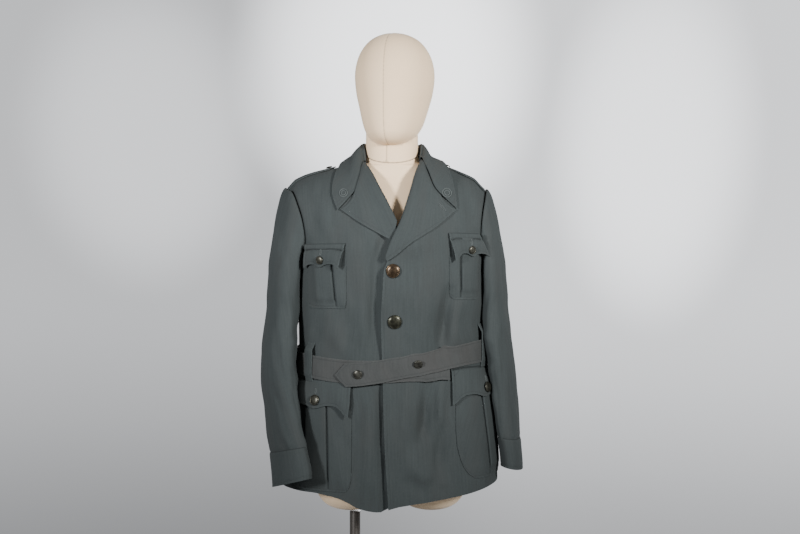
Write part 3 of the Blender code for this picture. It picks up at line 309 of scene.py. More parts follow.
def ripple(first, second):
    """A faint unevenness made of a few crossing waves, the same on each run."""
    draw = np.random.default_rng(sizes().seed)
    moved = np.zeros(np.broadcast(first, second).shape)
    for length in RIPPLES:
        turn, phase = draw.uniform(-RIPPLE_TURN, RIPPLE_TURN), draw.uniform(0, 2 * np.pi)
        wave = (first * np.cos(turn) + second * np.sin(turn)) * 2 * np.pi / length
        sway = RIPPLE_SWAY[0] * np.sin(second * 2 * np.pi / (length * RIPPLE_SWAY[1]))
        moved += np.sin(wave + phase + sway)
    return moved * RIPPLE_DEPTH / len(RIPPLES)


def relief(across, height, back):
    """All of the cloth's fine form on the body: creases and unevenness."""
    front_moved, back_moved = (crease_depth(table, across, height) for table in (CREASES, BACK_CREASES))
    return np.where(back, back_moved, front_moved) + ripple(across, height) * sizes().crease


def side_width(side, height, rise):
    """Half-width of the section at a height, or above the armpits at a rise."""
    below = BODY.at(np.minimum(height, ARM_HEIGHT), side)
    return below + (SHOULDER_SPREAD[side] - below) * smooth(rise)


def crest(rise, back):
    rise = np.clip(rise, 0, 1)
    front_crest, back_crest = ((1 - rise ** shape[0]) ** shape[1] for shape in (FRONT_CREST, BACK_CREST))
    return np.where(back, back_crest, front_crest)


def uncrest(share, shape):
    return (1 - np.clip(share, 0, 1) ** (1 / shape[1])) ** (1 / shape[0])


def depth_at(across, height, rise, back):
    wide = by_side(across, lambda side: side_width(side, height, rise))
    flat = np.clip(1 - (np.abs(across) / wide) ** SQUARE, 0, 1) ** (1 / SQUARE)
    low = np.minimum(height, ARM_HEIGHT)
    depth = np.where(back, BODY.at(low, "back"), BODY.at(low, "front"))
    return depth * flat * crest(rise, back)


def shoulder_line(across):
    return by_side(across, lambda side: SHOULDER[side].at(np.abs(across), "height"))


def join(x, y, z):
    return np.stack(np.broadcast_arrays(x, y, z), axis=-1)


RELIEF_FADE = 0.04  # the fine form fades out where the body is less deep than this


def place(across, height, rise, back, fine):
    """Points of the body's outside. Fine ones have the creases too."""
    depth = depth_at(across, height, rise, back)
    moved = np.where(back, 0.0, fold_depth(across, height))
    if fine:
        moved = moved + relief(across, height, back) * np.clip(depth / RELIEF_FADE, 0, 1)
    return join(across, np.where(back, depth + moved, -depth - moved), height)


def at_rise(across, rise, back=False, fine=True):
    height = ARM_HEIGHT + rise * (shoulder_line(across) - ARM_HEIGHT)
    return place(across, height, rise, back, fine)


def at_height(across, height, back=False, fine=True):
    rise = np.clip((height - ARM_HEIGHT) / (shoulder_line(across) - ARM_HEIGHT), 0, 1)
    return place(across, height, rise, back, fine)


def unit(vectors):
    return vectors / np.maximum(np.linalg.norm(vectors, axis=-1, keepdims=True), 1e-12)


def lengths_along(points, axis):
    """Length from the first point on, along one axis of a grid."""
    steps = np.linalg.norm(np.diff(points, axis=axis), axis=-1)
    start = np.zeros_like(np.take(steps, [0], axis=axis))
    return np.cumsum(np.concatenate([start, steps], axis=axis), axis=axis)


def read_rows(rows, lengths, wanted):
    """Each row of points, which has these lengths along it, again at the wanted lengths."""
    again = np.empty((*wanted.shape, rows.shape[-1]))
    for number, (row, length) in enumerate(zip(rows, lengths)):
        for axis in range(rows.shape[-1]):
            again[number, :, axis] = np.interp(wanted[number], length, row[:, axis])
    return again


def resample(rows, shares):
    """Each row of points again, at these shares of its length."""
    lengths = lengths_along(rows, 1)
    return read_rows(rows, lengths, lengths[:, -1:] * shares)


def trim(rows, first, last):
    """Shortens each row by a length at its first and its last end."""
    lengths = lengths_along(rows, 1)
    return read_rows(rows, lengths, np.linspace(first, lengths[:, -1] - last, rows.shape[1], axis=1))


def cubic_taps(where, count):
    base = np.clip(np.floor(where).astype(int), 1, count - 3)
    t = where - base
    weights = (
        (-t + 2 * t**2 - t**3) / 2,
        (2 - 5 * t**2 + 3 * t**3) / 2,
        (t + 4 * t**2 - 3 * t**3) / 2,
        (-(t**2) + t**3) / 2,
    )
    return base, weights


class Skin:
    """The body's outside, read by distance round it from the centre front, left positive, and by height."""

    STEP = 0.003
    LOW, HIGH, REACH = 0.790, 1.460, 0.560

    def __init__(self):
        self.heights = np.arange(self.LOW, self.HIGH, self.STEP)
        self.distances = np.arange(-self.REACH, self.REACH, self.STEP)
        turns = np.radians(np.linspace(0, 180, 361))
        back = turns > np.pi / 2
        height = self.heights[:, None]
        halves = {}
        for side, sign in SIGN.items():
            wide = BODY.at(np.minimum(height, ARM_HEIGHT), side)
            across = sign * wide * np.sin(turns)[None] ** (2 / SQUARE)
            plain = at_height(across, height, back, fine=False)
            halves[side] = (at_height(across, height, back), lengths_along(plain, 1))
        self.half_rounds = {side: half[1][:, -1] for side, half in halves.items()}
        whole = self.half_rounds["right"] + self.half_rounds["left"]
        left, left_lengths = halves["left"]
        right, right_lengths = (grid[:, ::-1] for grid in halves["right"])
        points = np.concatenate([left, right, left, right], axis=1)
        runs = (left_lengths - whole[:, None], -right_lengths, left_lengths, whole[:, None] - right_lengths)
        wanted = np.broadcast_to(self.distances, (len(self.heights), len(self.distances)))
        self.points = read_rows(points, np.concatenate(runs, axis=1), wanted)
        self.normals = grid_normals(self.points)

    def read(self, grid, distance, height):
        row, row_weights = cubic_taps((height - self.LOW) / self.STEP, len(self.heights))
        column, column_weights = cubic_taps((distance + self.REACH) / self.STEP, len(self.distances))
        total = 0.0
        for i, row_weight in enumerate(row_weights):
            for j, column_weight in enumerate(column_weights):
                weight = (row_weight * column_weight)[..., None]
                total = total + weight * grid[row + i - 1, column + j - 1]
        return total

    def at(self, distance, height, out):
        distance, height = np.broadcast_arrays(np.asarray(distance, float), np.asarray(height, float))
        normal = unit(self.read(self.normals, distance, height))
        return self.read(self.points, distance, height) + normal * np.asarray(out)[..., None]

    def half_round(self, side, height):
        return float(np.interp(height, self.heights, self.half_rounds[side]))


@functools.cache
def skin():
    return Skin()


def front_out(across, height, out):
    """Places on the front by how far across they are, moved out of the cloth."""
    step = Skin.STEP
    along = at_height(across + step, height) - at_height(across - step, height)
    up = at_height(across, height + step) - at_height(across, height - step)
    return at_height(across, height) + unit(np.cross(along, up)) * np.asarray(out)[..., None]


def hermite(start, leave, end, arrive, part):
    square, cube = part * part, part**3
    return (
        start * (2 * cube - 3 * square + 1)
        + leave * (cube - 2 * square + part)
        + end * (3 * square - 2 * cube)
        + arrive * (cube - square)
    )


def coons(bottom, top, left, right, u, v):
    """Points over a four-sided patch between its edges, which are given at these shares u and v."""
    u, v = u[None, :, None], v[:, None, None]
    edges = left[:, None] * (1 - u) + right[:, None] * u + bottom[None] * (1 - v) + top[None] * v
    corners = (bottom[0] * (1 - u) + bottom[-1] * u) * (1 - v) + (top[0] * (1 - u) + top[-1] * u) * v
    return edges - corners


def along_line(line, shares):
    return resample(np.asarray(line, float)[None], np.asarray(shares))[0]


CURVE_PARTS = 16  # straight parts between two given points of a smooth line


def curve_line(points, shares):
    """A smooth line through points, at these shares of its length."""
    points = np.array(points, float)
    ends = np.vstack([2 * points[0] - points[1], points, 2 * points[-1] - points[-2]])
    line = []
    for before, start, end, after in zip(ends, ends[1:], ends[2:], ends[3:]):
        for part in np.linspace(0, 1, CURVE_PARTS, endpoint=False):
            line.append(hermite(start, (end - before) / 2, end, (after - start) / 2, part))
    line.append(points[-1])
    return along_line(line, shares)


# ---- Meshes ----

NEAR_EDGE = np.array((0.0, 0.0009, 0.0022, 0.0036, 0.0050, 0.0058, 0.0066, 0.0082, 0.0112))
NEAR_SEAM = np.array((0.0, 0.0010, 0.0024, 0.0042, 0.0070))
CLOTH_STEP, FINE_STEP = 0.0045, 0.0042  # from point to point in between


def spacing(length, step, start=None, end=None):
    """Shares along a nominal length, closer together where a start or an end wants it."""
    first = np.array((0.0,)) if start is None else start
    last = np.array((0.0,)) if end is None else end
    between = length - first[-1] - last[-1]
    count = max(2, round(between / step))
    middle = first[-1] + between * np.arange(1, count) / count
    return np.concatenate([first, middle, (length - last)[::-1]]) / length


def grid_normals(points, closed=False):
    if closed:
        wrapped = np.concatenate([points[:, -1:], points, points[:, :1]], axis=1)
        along = (wrapped[:, 2:] - wrapped[:, :-2]) / 2
    else:
        along = np.gradient(points, axis=1)
    return unit(np.cross(along, np.gradient(points, axis=0)))


def edge_distances(points, edges):
    """Distance from each point to the nearest of the grid's edges that are named by a letter of LRBT."""
    nearest = np.full(points.shape[:2], FAR)
    along, up = lengths_along(points, 1), lengths_along(points, 0)
    found = {"L": along, "R": along[:, -1:] - along, "B": up, "T": up[-1:] - up}
    for letter in edges:
        nearest = np.minimum(nearest, found[letter])
    return nearest


def grid_faces(rows, columns, closed):
    """Corner numbers of each face as (row, column) pairs, the last column wrapping round if closed."""
    row, column = np.meshgrid(np.arange(rows - 1), np.arange(columns - (not closed)), indexing="ij")
    row, column = row.ravel(), column.ravel()
    corner_rows = np.stack([row, row, row + 1, row + 1], axis=1)
    corner_columns = np.stack([column, column + 1, column + 1, column], axis=1)
    return corner_rows, corner_columns


def round_turns(count):
    """Angles of a ring's points."""
    return np.linspace(0, 2 * np.pi, count, endpoint=False)


def write_values(mesh, shape, **values):
    """One float attribute on the points for each array."""
    for key, value in values.items():
        attribute = mesh.attributes.new(key, "FLOAT", "POINT")
        attribute.data.foreach_set("value", np.broadcast_to(value, shape).ravel().astype(np.float32))


def grid_mesh(name, points, closed, inside_out, uv_start):
    """A mesh on a grid of points with its UV map in metres."""
    rows, columns = points.shape[:2]
    corner_rows, corner_columns = grid_faces(rows, columns, closed)
    wrapped = np.concatenate([points, points[:, :1]], axis=1) if closed else points
    u, v = lengths_along(wrapped, 1) + uv_start, lengths_along(wrapped, 0)
    corners = corner_rows * columns + corner_columns % columns
    loop_u, loop_v = u[corner_rows, corner_columns], v[corner_rows, corner_columns]
    if inside_out:
        corners, loop_u, loop_v = corners[:, ::-1], loop_u[:, ::-1], loop_v[:, ::-1]
    mesh = bpy.data.meshes.new(name)
    mesh.from_pydata(points.reshape(-1, 3).tolist(), [], corners.tolist())
    layer = mesh.uv_layers.new(name="Weave")
    layer.data.foreach_set("uv", np.stack([loop_u.ravel(), loop_v.ravel()], axis=1).ravel())
    mesh.shade_smooth()
    return mesh


def link(name, mesh, material=None):
    piece = bpy.data.objects.new(name, mesh)
    bpy.context.scene.collection.objects.link(piece)
    if material is not None:
        mesh.materials.append(material)
    return piece


def evaluated_mesh(piece):
    graph = bpy.context.evaluated_depsgraph_get()
    return bpy.data.meshes.new_from_object(piece.evaluated_get(graph), depsgraph=graph)


def apply_modifiers(piece):
    """Turns the piece's evaluated form into its plain mesh."""
    mesh, old = evaluated_mesh(piece), piece.data
    piece.modifiers.clear()
    piece.data = mesh
    bpy.data.meshes.remove(old)


def ride(piece, *nodes, slot):
    """Puts a piece on the one body, in place of these nodes."""
    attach(piece, "root")
    if nodes:
        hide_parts(*nodes)


SEAM_DIP = 0.0012  # how far cloth sinks at a sewn seam
SEAM_WIDTH = 0.0032
GROOVE_DIP = 0.0004  # along a row of edge stitches
GROOVE_WIDTH = 0.0013
ROLL_DIP = 0.0003  # at the very edge, where the cloth folds over


def finish_cloth(points, normals, edge, seam, groove):
    """Sinks the cloth at its seams and along its edge stitches."""
    dip = SEAM_DIP * hump(seam, SEAM_WIDTH)
    dip = dip + GROOVE_DIP * hump(groove, GROOVE_WIDTH) + ROLL_DIP * hump(edge, GROOVE_WIDTH)
    return points - normals * dip[..., None]


threads = []  # lines of stitches, gathered while the cloth is made
STITCH_STOP = 0.9  # share of the inset at which a line of stitches stops before a seam or another hem


def sew(points, letters, hems, seam, inset):
    """Notes a line of stitches along each of the named edges, short of the seams and the other hems."""
    for letter in letters:
        stop = "".join(hem for hem in hems if hem in ("BT" if letter in "LR" else "LR"))
        keep = np.minimum(seam, edge_distances(points, stop)) - inset * STITCH_STOP
        grid = np.concatenate([points, keep[..., None]], axis=-1)
        grid = grid if letter in "LR" else grid.swapaxes(0, 1)
        grid = grid[:, ::-1] if letter in "RT" else grid
        lengths = lengths_along(grid[..., :3], 1)
        line = []
        for row, length in zip(grid, lengths):
            spot = [np.interp(inset, length, row[:, axis]) for axis in range(4)]
            if length[-1] > 2 * inset and spot[3] > 0:
                line.append(spot[:3])
            elif len(line) > 2:
                threads.append(np.array(line))
                line = []
        if len(line) > 2:
            threads.append(np.array(line))


BEVEL_SHARE = 0.32  # of the wall, rounded off at a cut edge
BEVEL_ANGLE = math.radians(55)
LINE_SAMPLES = 160
FAR = 1.0  # distance that counts as away from any edge or seam


def distance_to(points, lines):
    """Distance from each point of a grid to the nearest place on any of these lines."""
    dense = np.concatenate([along_line(line, np.linspace(0, 1, LINE_SAMPLES)) for line in lines])
    tree = KDTree(len(dense))
    for number, place_on_line in enumerate(dense):
        tree.insert(place_on_line, number)
    tree.balance()
    flat = [tree.find(point)[2] for point in points.reshape(-1, 3)]
    return np.array(flat).reshape(points.shape[:-1])


def nearest_edge(points, letters, lines):
    """Distance to the nearest of the grid's named edges and of any further lines."""
    nearest = edge_distances(points, letters)
    return np.minimum(nearest, distance_to(points, lines)) if lines else nearest


def make_cloth(
    node, points, hems="", seams="", stitched=None, hem_lines=(), seam_lines=(), *, closed=False,
    core=(0.0, 0.0, 0.0), centred=False, material="tunic_cloth", wall=None, inset=None, uv_start=0.0,
    held="stretched", rests_on="form_torso", width_row=None,
):
    """One piece of cloth: a shell on a grid of points, with its edges finished and its cut declared.

    The edges are named by letters: L and R are the first and last column, B and T the first and last row.
    """
    wall, inset = wall or sizes().wall, inset or sizes().inset
    normals = grid_normals(points, closed)
    away = points - np.array(core)
    away[..., 2] *= core[2] != 0
    outward = float(np.sign((normals * away).sum()))
    letters = hems if stitched is None else stitched
    edge = nearest_edge(points, hems, hem_lines)
    seam = nearest_edge(points, seams, seam_lines)
    groove = np.abs(nearest_edge(points, letters, hem_lines) - inset)
    points = finish_cloth(points, normals * outward, edge, seam, groove)
    mesh = grid_mesh(f"{node}_cloth", points, closed, outward < 0, uv_start)
    write_values(mesh, edge.shape, edge=edge, seam=seam, groove=groove)
    piece = link(mesh.name, mesh, made_material(f"{material}_wool", wool, material))
    shell = piece.modifiers.new("Wall", "SOLIDIFY")
    shell.thickness = wall
    shell.offset = 0.0 if centred else -1.0
    shell.use_even_offset = False
    round_off = piece.modifiers.new("Edges", "BEVEL")
    round_off.width = wall * BEVEL_SHARE
    round_off.segments = 2
    round_off.limit_method = "ANGLE"
    round_off.angle_limit = BEVEL_ANGLE
    apply_modifiers(piece)
    surface = points + normals * outward * (wall / 2 if centred else 0.0)
    sew(surface, letters, hems, seam, inset)
    ride(piece, node, slot=material)
    declare_cut(piece, points, closed, width_row)
    return surface


def declare_cut(piece, points, closed, width_row):
    """States the flat size of the cut: the widest row, or the one named, the longest column and the area."""
    wrapped = np.concatenate([points, points[:, :1]], axis=1) if closed else points
    widths = lengths_along(wrapped, 1)[:, -1]
    width = float(widths.max() if width_row is None else widths[width_row])
    length = float(lengths_along(wrapped, 0)[-1].max())
    first = wrapped[1:, 1:] - wrapped[:-1, :-1]
    second = wrapped[1:, :-1] - wrapped[:-1, 1:]
    area = float(np.linalg.norm(np.cross(first, second), axis=-1).sum() / 2)
    cuts[piece.name] = (round(width, 3), round(length, 3), round(area, 4))
    width, length = math.ceil(width * 1000) / 1000, math.ceil(length * 1000) / 1000


cuts = {}  # flat size of each piece of cloth, printed at the end

# ---- Fronts and back ----

OVERLAP = 0.054  # how far the left front lies over the right one
LAYER = 0.0034  # one cloth layer over another
LAPEL_PAD = 0.0050  # what the right lapel adds under the left front
ROLL_SET_BACK = 0.0055  # the front ends this far short of the roll of its lapel
SEAM_GAP = 0.0002
EDGE_CURL = 0.0032  # how far the closing edge of the left front curls forward
EDGE_CURL_WIDTH = 0.012
BREAK = 1.335  # height at which the left lapel starts to turn back
OVER_LAPEL = 0.035  # height over which the left front rises onto the right lapel
OVERLAP_FADE = 0.05
CURL_FADE = 0.02
TROUGH_OVER = (0.0105, 0.015, 0.0120)  # over the belt: depth, distance from the edge and half-width
TROUGH_SPAN = (1.430, 0.290, 0.6)  # its top, its length and how bluntly it ends
TROUGH_UNDER = (0.0095, 0.005, 0.0080)
TROUGH_START = (1.095, 0.03)


def lift(across, height):
    """How far the left front stands off over the right one."""
    past = across - FRONT_EDGE.at(height, "left")
    over_lapel = smooth((height - BREAK) / OVER_LAPEL)
    return (LAYER + LAPEL_PAD * over_lapel) * (1 - smooth((past - OVERLAP) / OVERLAP_FADE))


def edge_trough(across, height):
    """How far the right front sinks beside the edge of the left one, over the belt and under it."""
    aside = FRONT_EDGE.at(height, "left") - across
    upper, lower = (depth * hump(aside - off, wide) for depth, off, wide in (TROUGH_OVER, TROUGH_UNDER))
    top, length, blunt = TROUGH_SPAN
    upper = upper * np.sin(np.pi * np.clip((top - height) / length, 0, 1)) ** blunt
    lower = lower * smooth((TROUGH_START[0] - height) / TROUGH_START[1])
    return (upper + lower) * sizes().crease


def turn_of(across, wide):
    return np.degrees(np.arcsin(np.clip(np.abs(across) / wide, 0, 1) ** (SQUARE / 2)))


def skirt_row(turn, share):
    """Points below the arms by their turn in degrees from the centre front, towards the left if positive."""
    hem = HEM.at(turn, "height")
    height = hem + (ARM_HEIGHT - hem) * (share + 1)
    sign = np.where(turn >= 0, 1.0, -1.0)
    wide = by_side(turn, lambda side: BODY.at(height, side))
    across = sign * wide * np.sin(np.radians(np.abs(turn))) ** (2 / SQUARE)
    return at_height(across, height, np.abs(turn) > 90)


ROW_SAMPLES = 161
SKIRT_SHARES = np.linspace(-1, 0, 61)
CHEST_RISES = 1 - np.linspace(1, 0, 61) ** (1 / FRONT_CREST[1])  # closer together at the shoulder
PANEL_LENGTH = 0.72  # of a front or the back, from hem to shoulder
FRONT_WIDTH, BACK_WIDTH = 0.24, 0.52
PANEL_STEP = 0.0055
EDGE_ROUNDS = 6  # to find the front's edge at a rise, whose height hangs on the edge's place
SET_BACK_START = (1.320, 0.015)  # from which height on the fronts end short of the rolls


def even_panel(rows, width, first, last):
    """The rows of a panel again as an even grid, closer together at its edges."""
    across = resample(rows, spacing(width, PANEL_STEP, first, last))
    down = spacing(PANEL_LENGTH, PANEL_STEP, NEAR_EDGE, NEAR_SEAM)
    return resample(across.swapaxes(0, 1), down).swapaxes(0, 1)


def front_rows(side):
    """Fine rows of a front from its inner edge to the side seam or the armhole, hem first."""
    sign, hem, rows = SIGN[side], HEM.at(0, "height"), []
    for share in SKIRT_SHARES[:-1]:
        height = hem + (ARM_HEIGHT - hem) * (share + 1)
        inner = float(FRONT_EDGE.at(height, side))
        start = math.copysign(turn_of(inner, BODY.at(height, side)), inner)
        rows.append(skirt_row(np.linspace(start, sign * 90, ROW_SAMPLES), share))
    for rise in CHEST_RISES:
        inner = float(FRONT_EDGE.at(ARM_HEIGHT, side))
        for _ in range(EDGE_ROUNDS):
            height = ARM_HEIGHT + rise * (shoulder_line(np.array(inner)) - ARM_HEIGHT)
            inner = float(FRONT_EDGE.at(height, side))
        wide = side_width(side, ARM_HEIGHT, rise)
        start = math.copysign(turn_of(inner, wide), inner)
        end = sign * turn_of(ARMHOLE[side].at(rise, "across"), wide)
        turn = np.radians(np.linspace(start, end, ROW_SAMPLES))
        across = np.sign(turn) * wide * np.abs(np.sin(turn)) ** (2 / SQUARE)
        rows.append(at_rise(across, np.full(ROW_SAMPLES, rise)))
    return np.array(rows)


def make_front(side):
    rows = front_rows(side)
    back_off = ROLL_SET_BACK * smooth((rows[:, 0, 2] - SET_BACK_START[0]) / SET_BACK_START[1])
    rows = trim(rows, back_off, SEAM_GAP)
    across, height = rows[..., 0], rows[..., 2]
    if side == "right":
        rows[..., 1] += edge_trough(across, height)
    else:
        curl = EDGE_CURL * hump(across - across[:, :1], EDGE_CURL_WIDTH)
        curl = curl * smooth((BREAK - height) / CURL_FADE)
        rows[..., 1] -= lift(across, height) + curl
    points = even_panel(rows, FRONT_WIDTH, NEAR_EDGE, NEAR_SEAM)
    points[-1] += unit(points[-2] - points[-1]) * SEAM_GAP
    make_cloth(f"front_{side}", points, "LB", "RT", "L", uv_start=SIGN[side] * points[:, :1, 0])


def make_back():
    rows = []
    for share in SKIRT_SHARES[:-1]:
        halves = [skirt_row(np.linspace(sign * 90, sign * 180, ROW_SAMPLES), share) for sign in (1, -1)]
        rows.append(np.concatenate([halves[0], halves[1][-2::-1]]))
    for rise in CHEST_RISES:
        halves = []
        for side, sign in (("left", 1), ("right", -1)):
            wide = side_width(side, ARM_HEIGHT, rise)
            end = math.radians(turn_of(ARMHOLE[side].at(rise, "across"), wide))
            across = sign * wide * np.sin(np.linspace(end, 0, ROW_SAMPLES)) ** (2 / SQUARE)
            halves.append(at_rise(across, rise * neck_rise(across), True))
        rows.append(np.concatenate([halves[0], halves[1][-2::-1]]))
    rows = trim(np.array(rows), np.full(len(rows), SEAM_GAP), SEAM_GAP)
    points = even_panel(rows, BACK_WIDTH, NEAR_SEAM, NEAR_SEAM)
    points[-1] += unit(points[-2] - points[-1]) * SEAM_GAP
    make_cloth("back", points, "B", "LRT", "")


def neck_rise(across):
    """Rise at which the back ends in the neckline, or 1 on the shoulders."""
    inside = np.clip(1 - (across / NECK_HALF) ** 2, 0, 1)
    share = NECK_BACK * np.sqrt(inside) / depth_at(across, ARM_HEIGHT, 0.0, True)
    return np.where(np.abs(across) >= NECK_HALF, 1.0, uncrest(share, BACK_CREST))


# ---- Sleeves and cuffs ----

# Each sleeve from its cuff's rim to under its head: place of the middle, half-width and half-depth of
# the flattened ring, degrees that its front is turned in towards the body, and how far it is raised.
SLEEVES = {
    "right": Table(
        (MM, MM, MM, MM, MM, 1, MM), "height across forward half_width half_depth turned raised",
        (886, -205.8, -137, 25, 60, 38, 18),
        (940, -214.8, -121, 24.5, 62, 36, 15),
        (983, -224.8, -105, 26.2, 64, 33, 12),
        (1040, -234.4, -82, 28.7, 67, 29, 8),
        (1100, -242.7, -56, 33.8, 71, 26, 4),
        (1150, -244.4, -38, 34.5, 74, 22, 1),
        (1210, -239.1, -22, 35.4, 77, 17, 0),
        (1250, -235.6, -12, 37.7, 80, 13, 0),
    ),
    "left": Table(
        (MM, MM, MM, MM, MM, 1, MM), "height across forward half_width half_depth turned raised",
        (899, 251.6, -30, 23.1, 60, 8, 5),
        (960, 245.5, -28, 26.6, 62, 10, 4),
        (1035, 237.5, -22, 30.1, 66, 12, 2),
        (1110, 231.7, -14, 30.5, 71, 13, 0),
        (1188, 221.4, -8, 31.5, 76, 14, 0),
        (1250, 219.2, -2, 28.2, 80, 12, 0),
    ),
}
# Creases of the sleeves: height and degrees round from the outside to the front, their reach, and depth.
SLEEVE_CREASES = Table(
    (MM, 1, MM, 1, MM, MM), "height turn reach half_turn slope depth",
    (1130, 150, 16, 46, 0.3, -3),
    (1095, 120, 11, 40, -0.26, 2.2),
    (1070, 170, 15, 50, 0.24, -3),
    (1165, 110, 13, 36, 0.34, 2),
    (1205, 165, 16, 40, 0.34, -2.4),
    (1000, 140, 16, 44, -0.2, -1.8),
    (1330, 70, 30, 24, 0.6, 1.8),
    (1390, 95, 20, 22, 0.5, -1.8),
    (1330, 280, 24, 28, -0.5, 2),
    (1120, 250, 18, 50, -0.3, -3),
    (1080, 235, 14, 46, -0.24, 2.4),
    (1140, 150, 120, 8, 0, -7),
    (1020, 112, 100, 8, 0, 2.6),
    (1180, 265, 16, 40, -0.36, -2.2),
)
HEAD_OUT = (0.010, 0.052)  # how strongly the head leaves the armhole sideways: always, and more at the top
HEAD_UP = 0.047  # how strongly it leaves upwards at the top, which ropes it
HEAD_DOWN = 0.030  # and downwards under the arm
HEAD_FALL = (0.05, 0.22)  # how strongly it arrives at the arm: always, and more at the top
HEAD_CURVE = 1.25  # puts the armhole's first points closer together at the armpit
HEAD_ROUND = 1.8  # how strongly the head's sideways swell is kept to its top
HEAD_LENGTH = 0.20
CUFF_DEPTH = 0.064
CUFF_WALL = 0.0016
CUFF_TOP_OUT = 0.0014  # of its outside over the sleeve's, at its seam
CUFF_LOW_OUT = 0.0030
SLEEVE_TURNS = 112
SLEEVE_CORE = (0.24, -0.03, 0.0)  # a place inside each sleeve
ARMHOLE_SAMPLES = 97
SLEEVE_CLEAR = (0.0004, 0.0012)  # from the panels' cut edges, under the arm and at the shoulder
REAR_FULL = 0.018  # how much fuller the sleeve is where it hangs against the body behind
REAR_START = (0.90, 0.05)
REAR_INNER = 0.35
INSIDE_CUFF = 0.0020  # how far the sleeve draws in under its cuff
INSIDE_START = (0.004, 0.006)  # from how far over the cuff, and how gradually
SLANT = {"right": 0.002, "left": 0.005}  # how much higher each cuff ends on its inner side
SLANT_TOP, SLANT_REACH = 1.02, 0.10
BESIDE_OUT = (0.0012, 0.0125)  # from the body to the sleeve, over the chest and over the belt and flaps
BESIDE_BELT = 1.215
BESIDE_SOFT = 0.0016
BESIDE_TOP = 0.004  # how far under the arm it starts
BESIDE_FADE = 0.03
SLEEVE_STEP = 0.0050
SLEEVE_LAST = 0.002  # from the sleeve's last ring to the cuff's rim
LEFT_CREASES_UP = 0.012  # how much higher the left sleeve's creases are
TURN_LENGTH = 0.07  # of the cloth round the sleeve, for one radian
SEAM_FREE = (1.500, 0.05)  # above this the head is smooth


def armhole_loop(side):
    """The armhole from the shoulder down its front, under the arm and up its back."""
    shares = np.linspace(0, 1, ARMHOLE_SAMPLES) ** HEAD_CURVE
    across = SIGN[side] * ARMHOLE[side].at(shares, "across")
    across[0] = SIGN[side] * BODY.at(ARM_HEIGHT, side)
    loop = np.concatenate([at_rise(across, shares, False)[::-1], at_rise(across, shares, True)[1:]])
    return along_line(loop, np.linspace(0, 1, SLEEVE_TURNS + 1))[:-1]


def sleeve_rings(side, height, grow=0.0):
    """Rings of the sleeve at these heights, from its outer side to its front, inner side and back."""
    row = {name: SLEEVES[side].at(height, name)[:, None] for name in SLEEVES[side].names}
    height, turn = height[:, None], round_turns(SLEEVE_TURNS)[None]
    turned_in = np.radians(row["turned"])
    behind = np.clip(-np.cos(turn), 0, 1) * smooth(REAR_INNER - np.sin(turn))
    full = REAR_FULL * behind * smooth((height - REAR_START[0]) / REAR_START[1])
    out = np.cos(turn) * (row["half_width"] + grow) - full
    ahead = np.sin(turn) * (row["half_depth"] + grow)
    across = SIGN[side] * (out * np.cos(turned_in) - ahead * np.sin(turned_in))
    forward = -(out * np.sin(turned_in) + ahead * np.cos(turned_in))
    near_cuff = smooth((SLANT_TOP - height) / SLANT_REACH)
    rise = height + np.sin(turn) * row["raised"] - np.cos(turn) * SLANT[side] * near_cuff
    return join(row["across"] + across, row["forward"] + forward, rise)


def beside_body(points, side):
    """The points of a sleeve, pressed out softly where they would be in the body or its belt."""
    x, y, z = np.moveaxis(points, -1, 0)
    wide = BODY.at(z, side)
    deep = np.where(y > 0, BODY.at(z, "back"), BODY.at(z, "front"))
    surface = wide * np.clip(1 - (np.abs(y) / deep) ** SQUARE, 0, 1) ** (1 / SQUARE)
    near_belt = smooth((BESIDE_BELT - z) / BESIDE_FADE)
    room = np.abs(x) - surface - (BESIDE_OUT[0] + (BESIDE_OUT[1] - BESIDE_OUT[0]) * near_belt)
    push = (np.sqrt(room * room + BESIDE_SOFT**2) - room) / 2
    push = push * smooth((ARM_HEIGHT - BESIDE_TOP - z) / BESIDE_FADE)
    return join(SIGN[side] * (np.abs(x) + push), y, z)


def sleeve_relief(points, side):
    """How far the creases move each point of a sleeve out."""
    turn = np.linspace(0, 360, SLEEVE_TURNS, endpoint=False)[None]
    height = points[..., 2]
    moved = np.zeros(points.shape[:2])
    shift = 0.0 if side == "right" else LEFT_CREASES_UP
    for crease_height, crease_turn, reach, half_turn, slope, depth in SLEEVE_CREASES.rows:
        away = (turn - crease_turn + 180) % 360 - 180
        middle = crease_height + shift + slope * away
        moved += depth * hump(height - middle, reach) * hump(away, half_turn)
    waves = ripple(np.radians(turn) * TURN_LENGTH, height)
    return (moved + waves) * smooth((SEAM_FREE[0] - height) / SEAM_FREE[1]) * sizes().crease


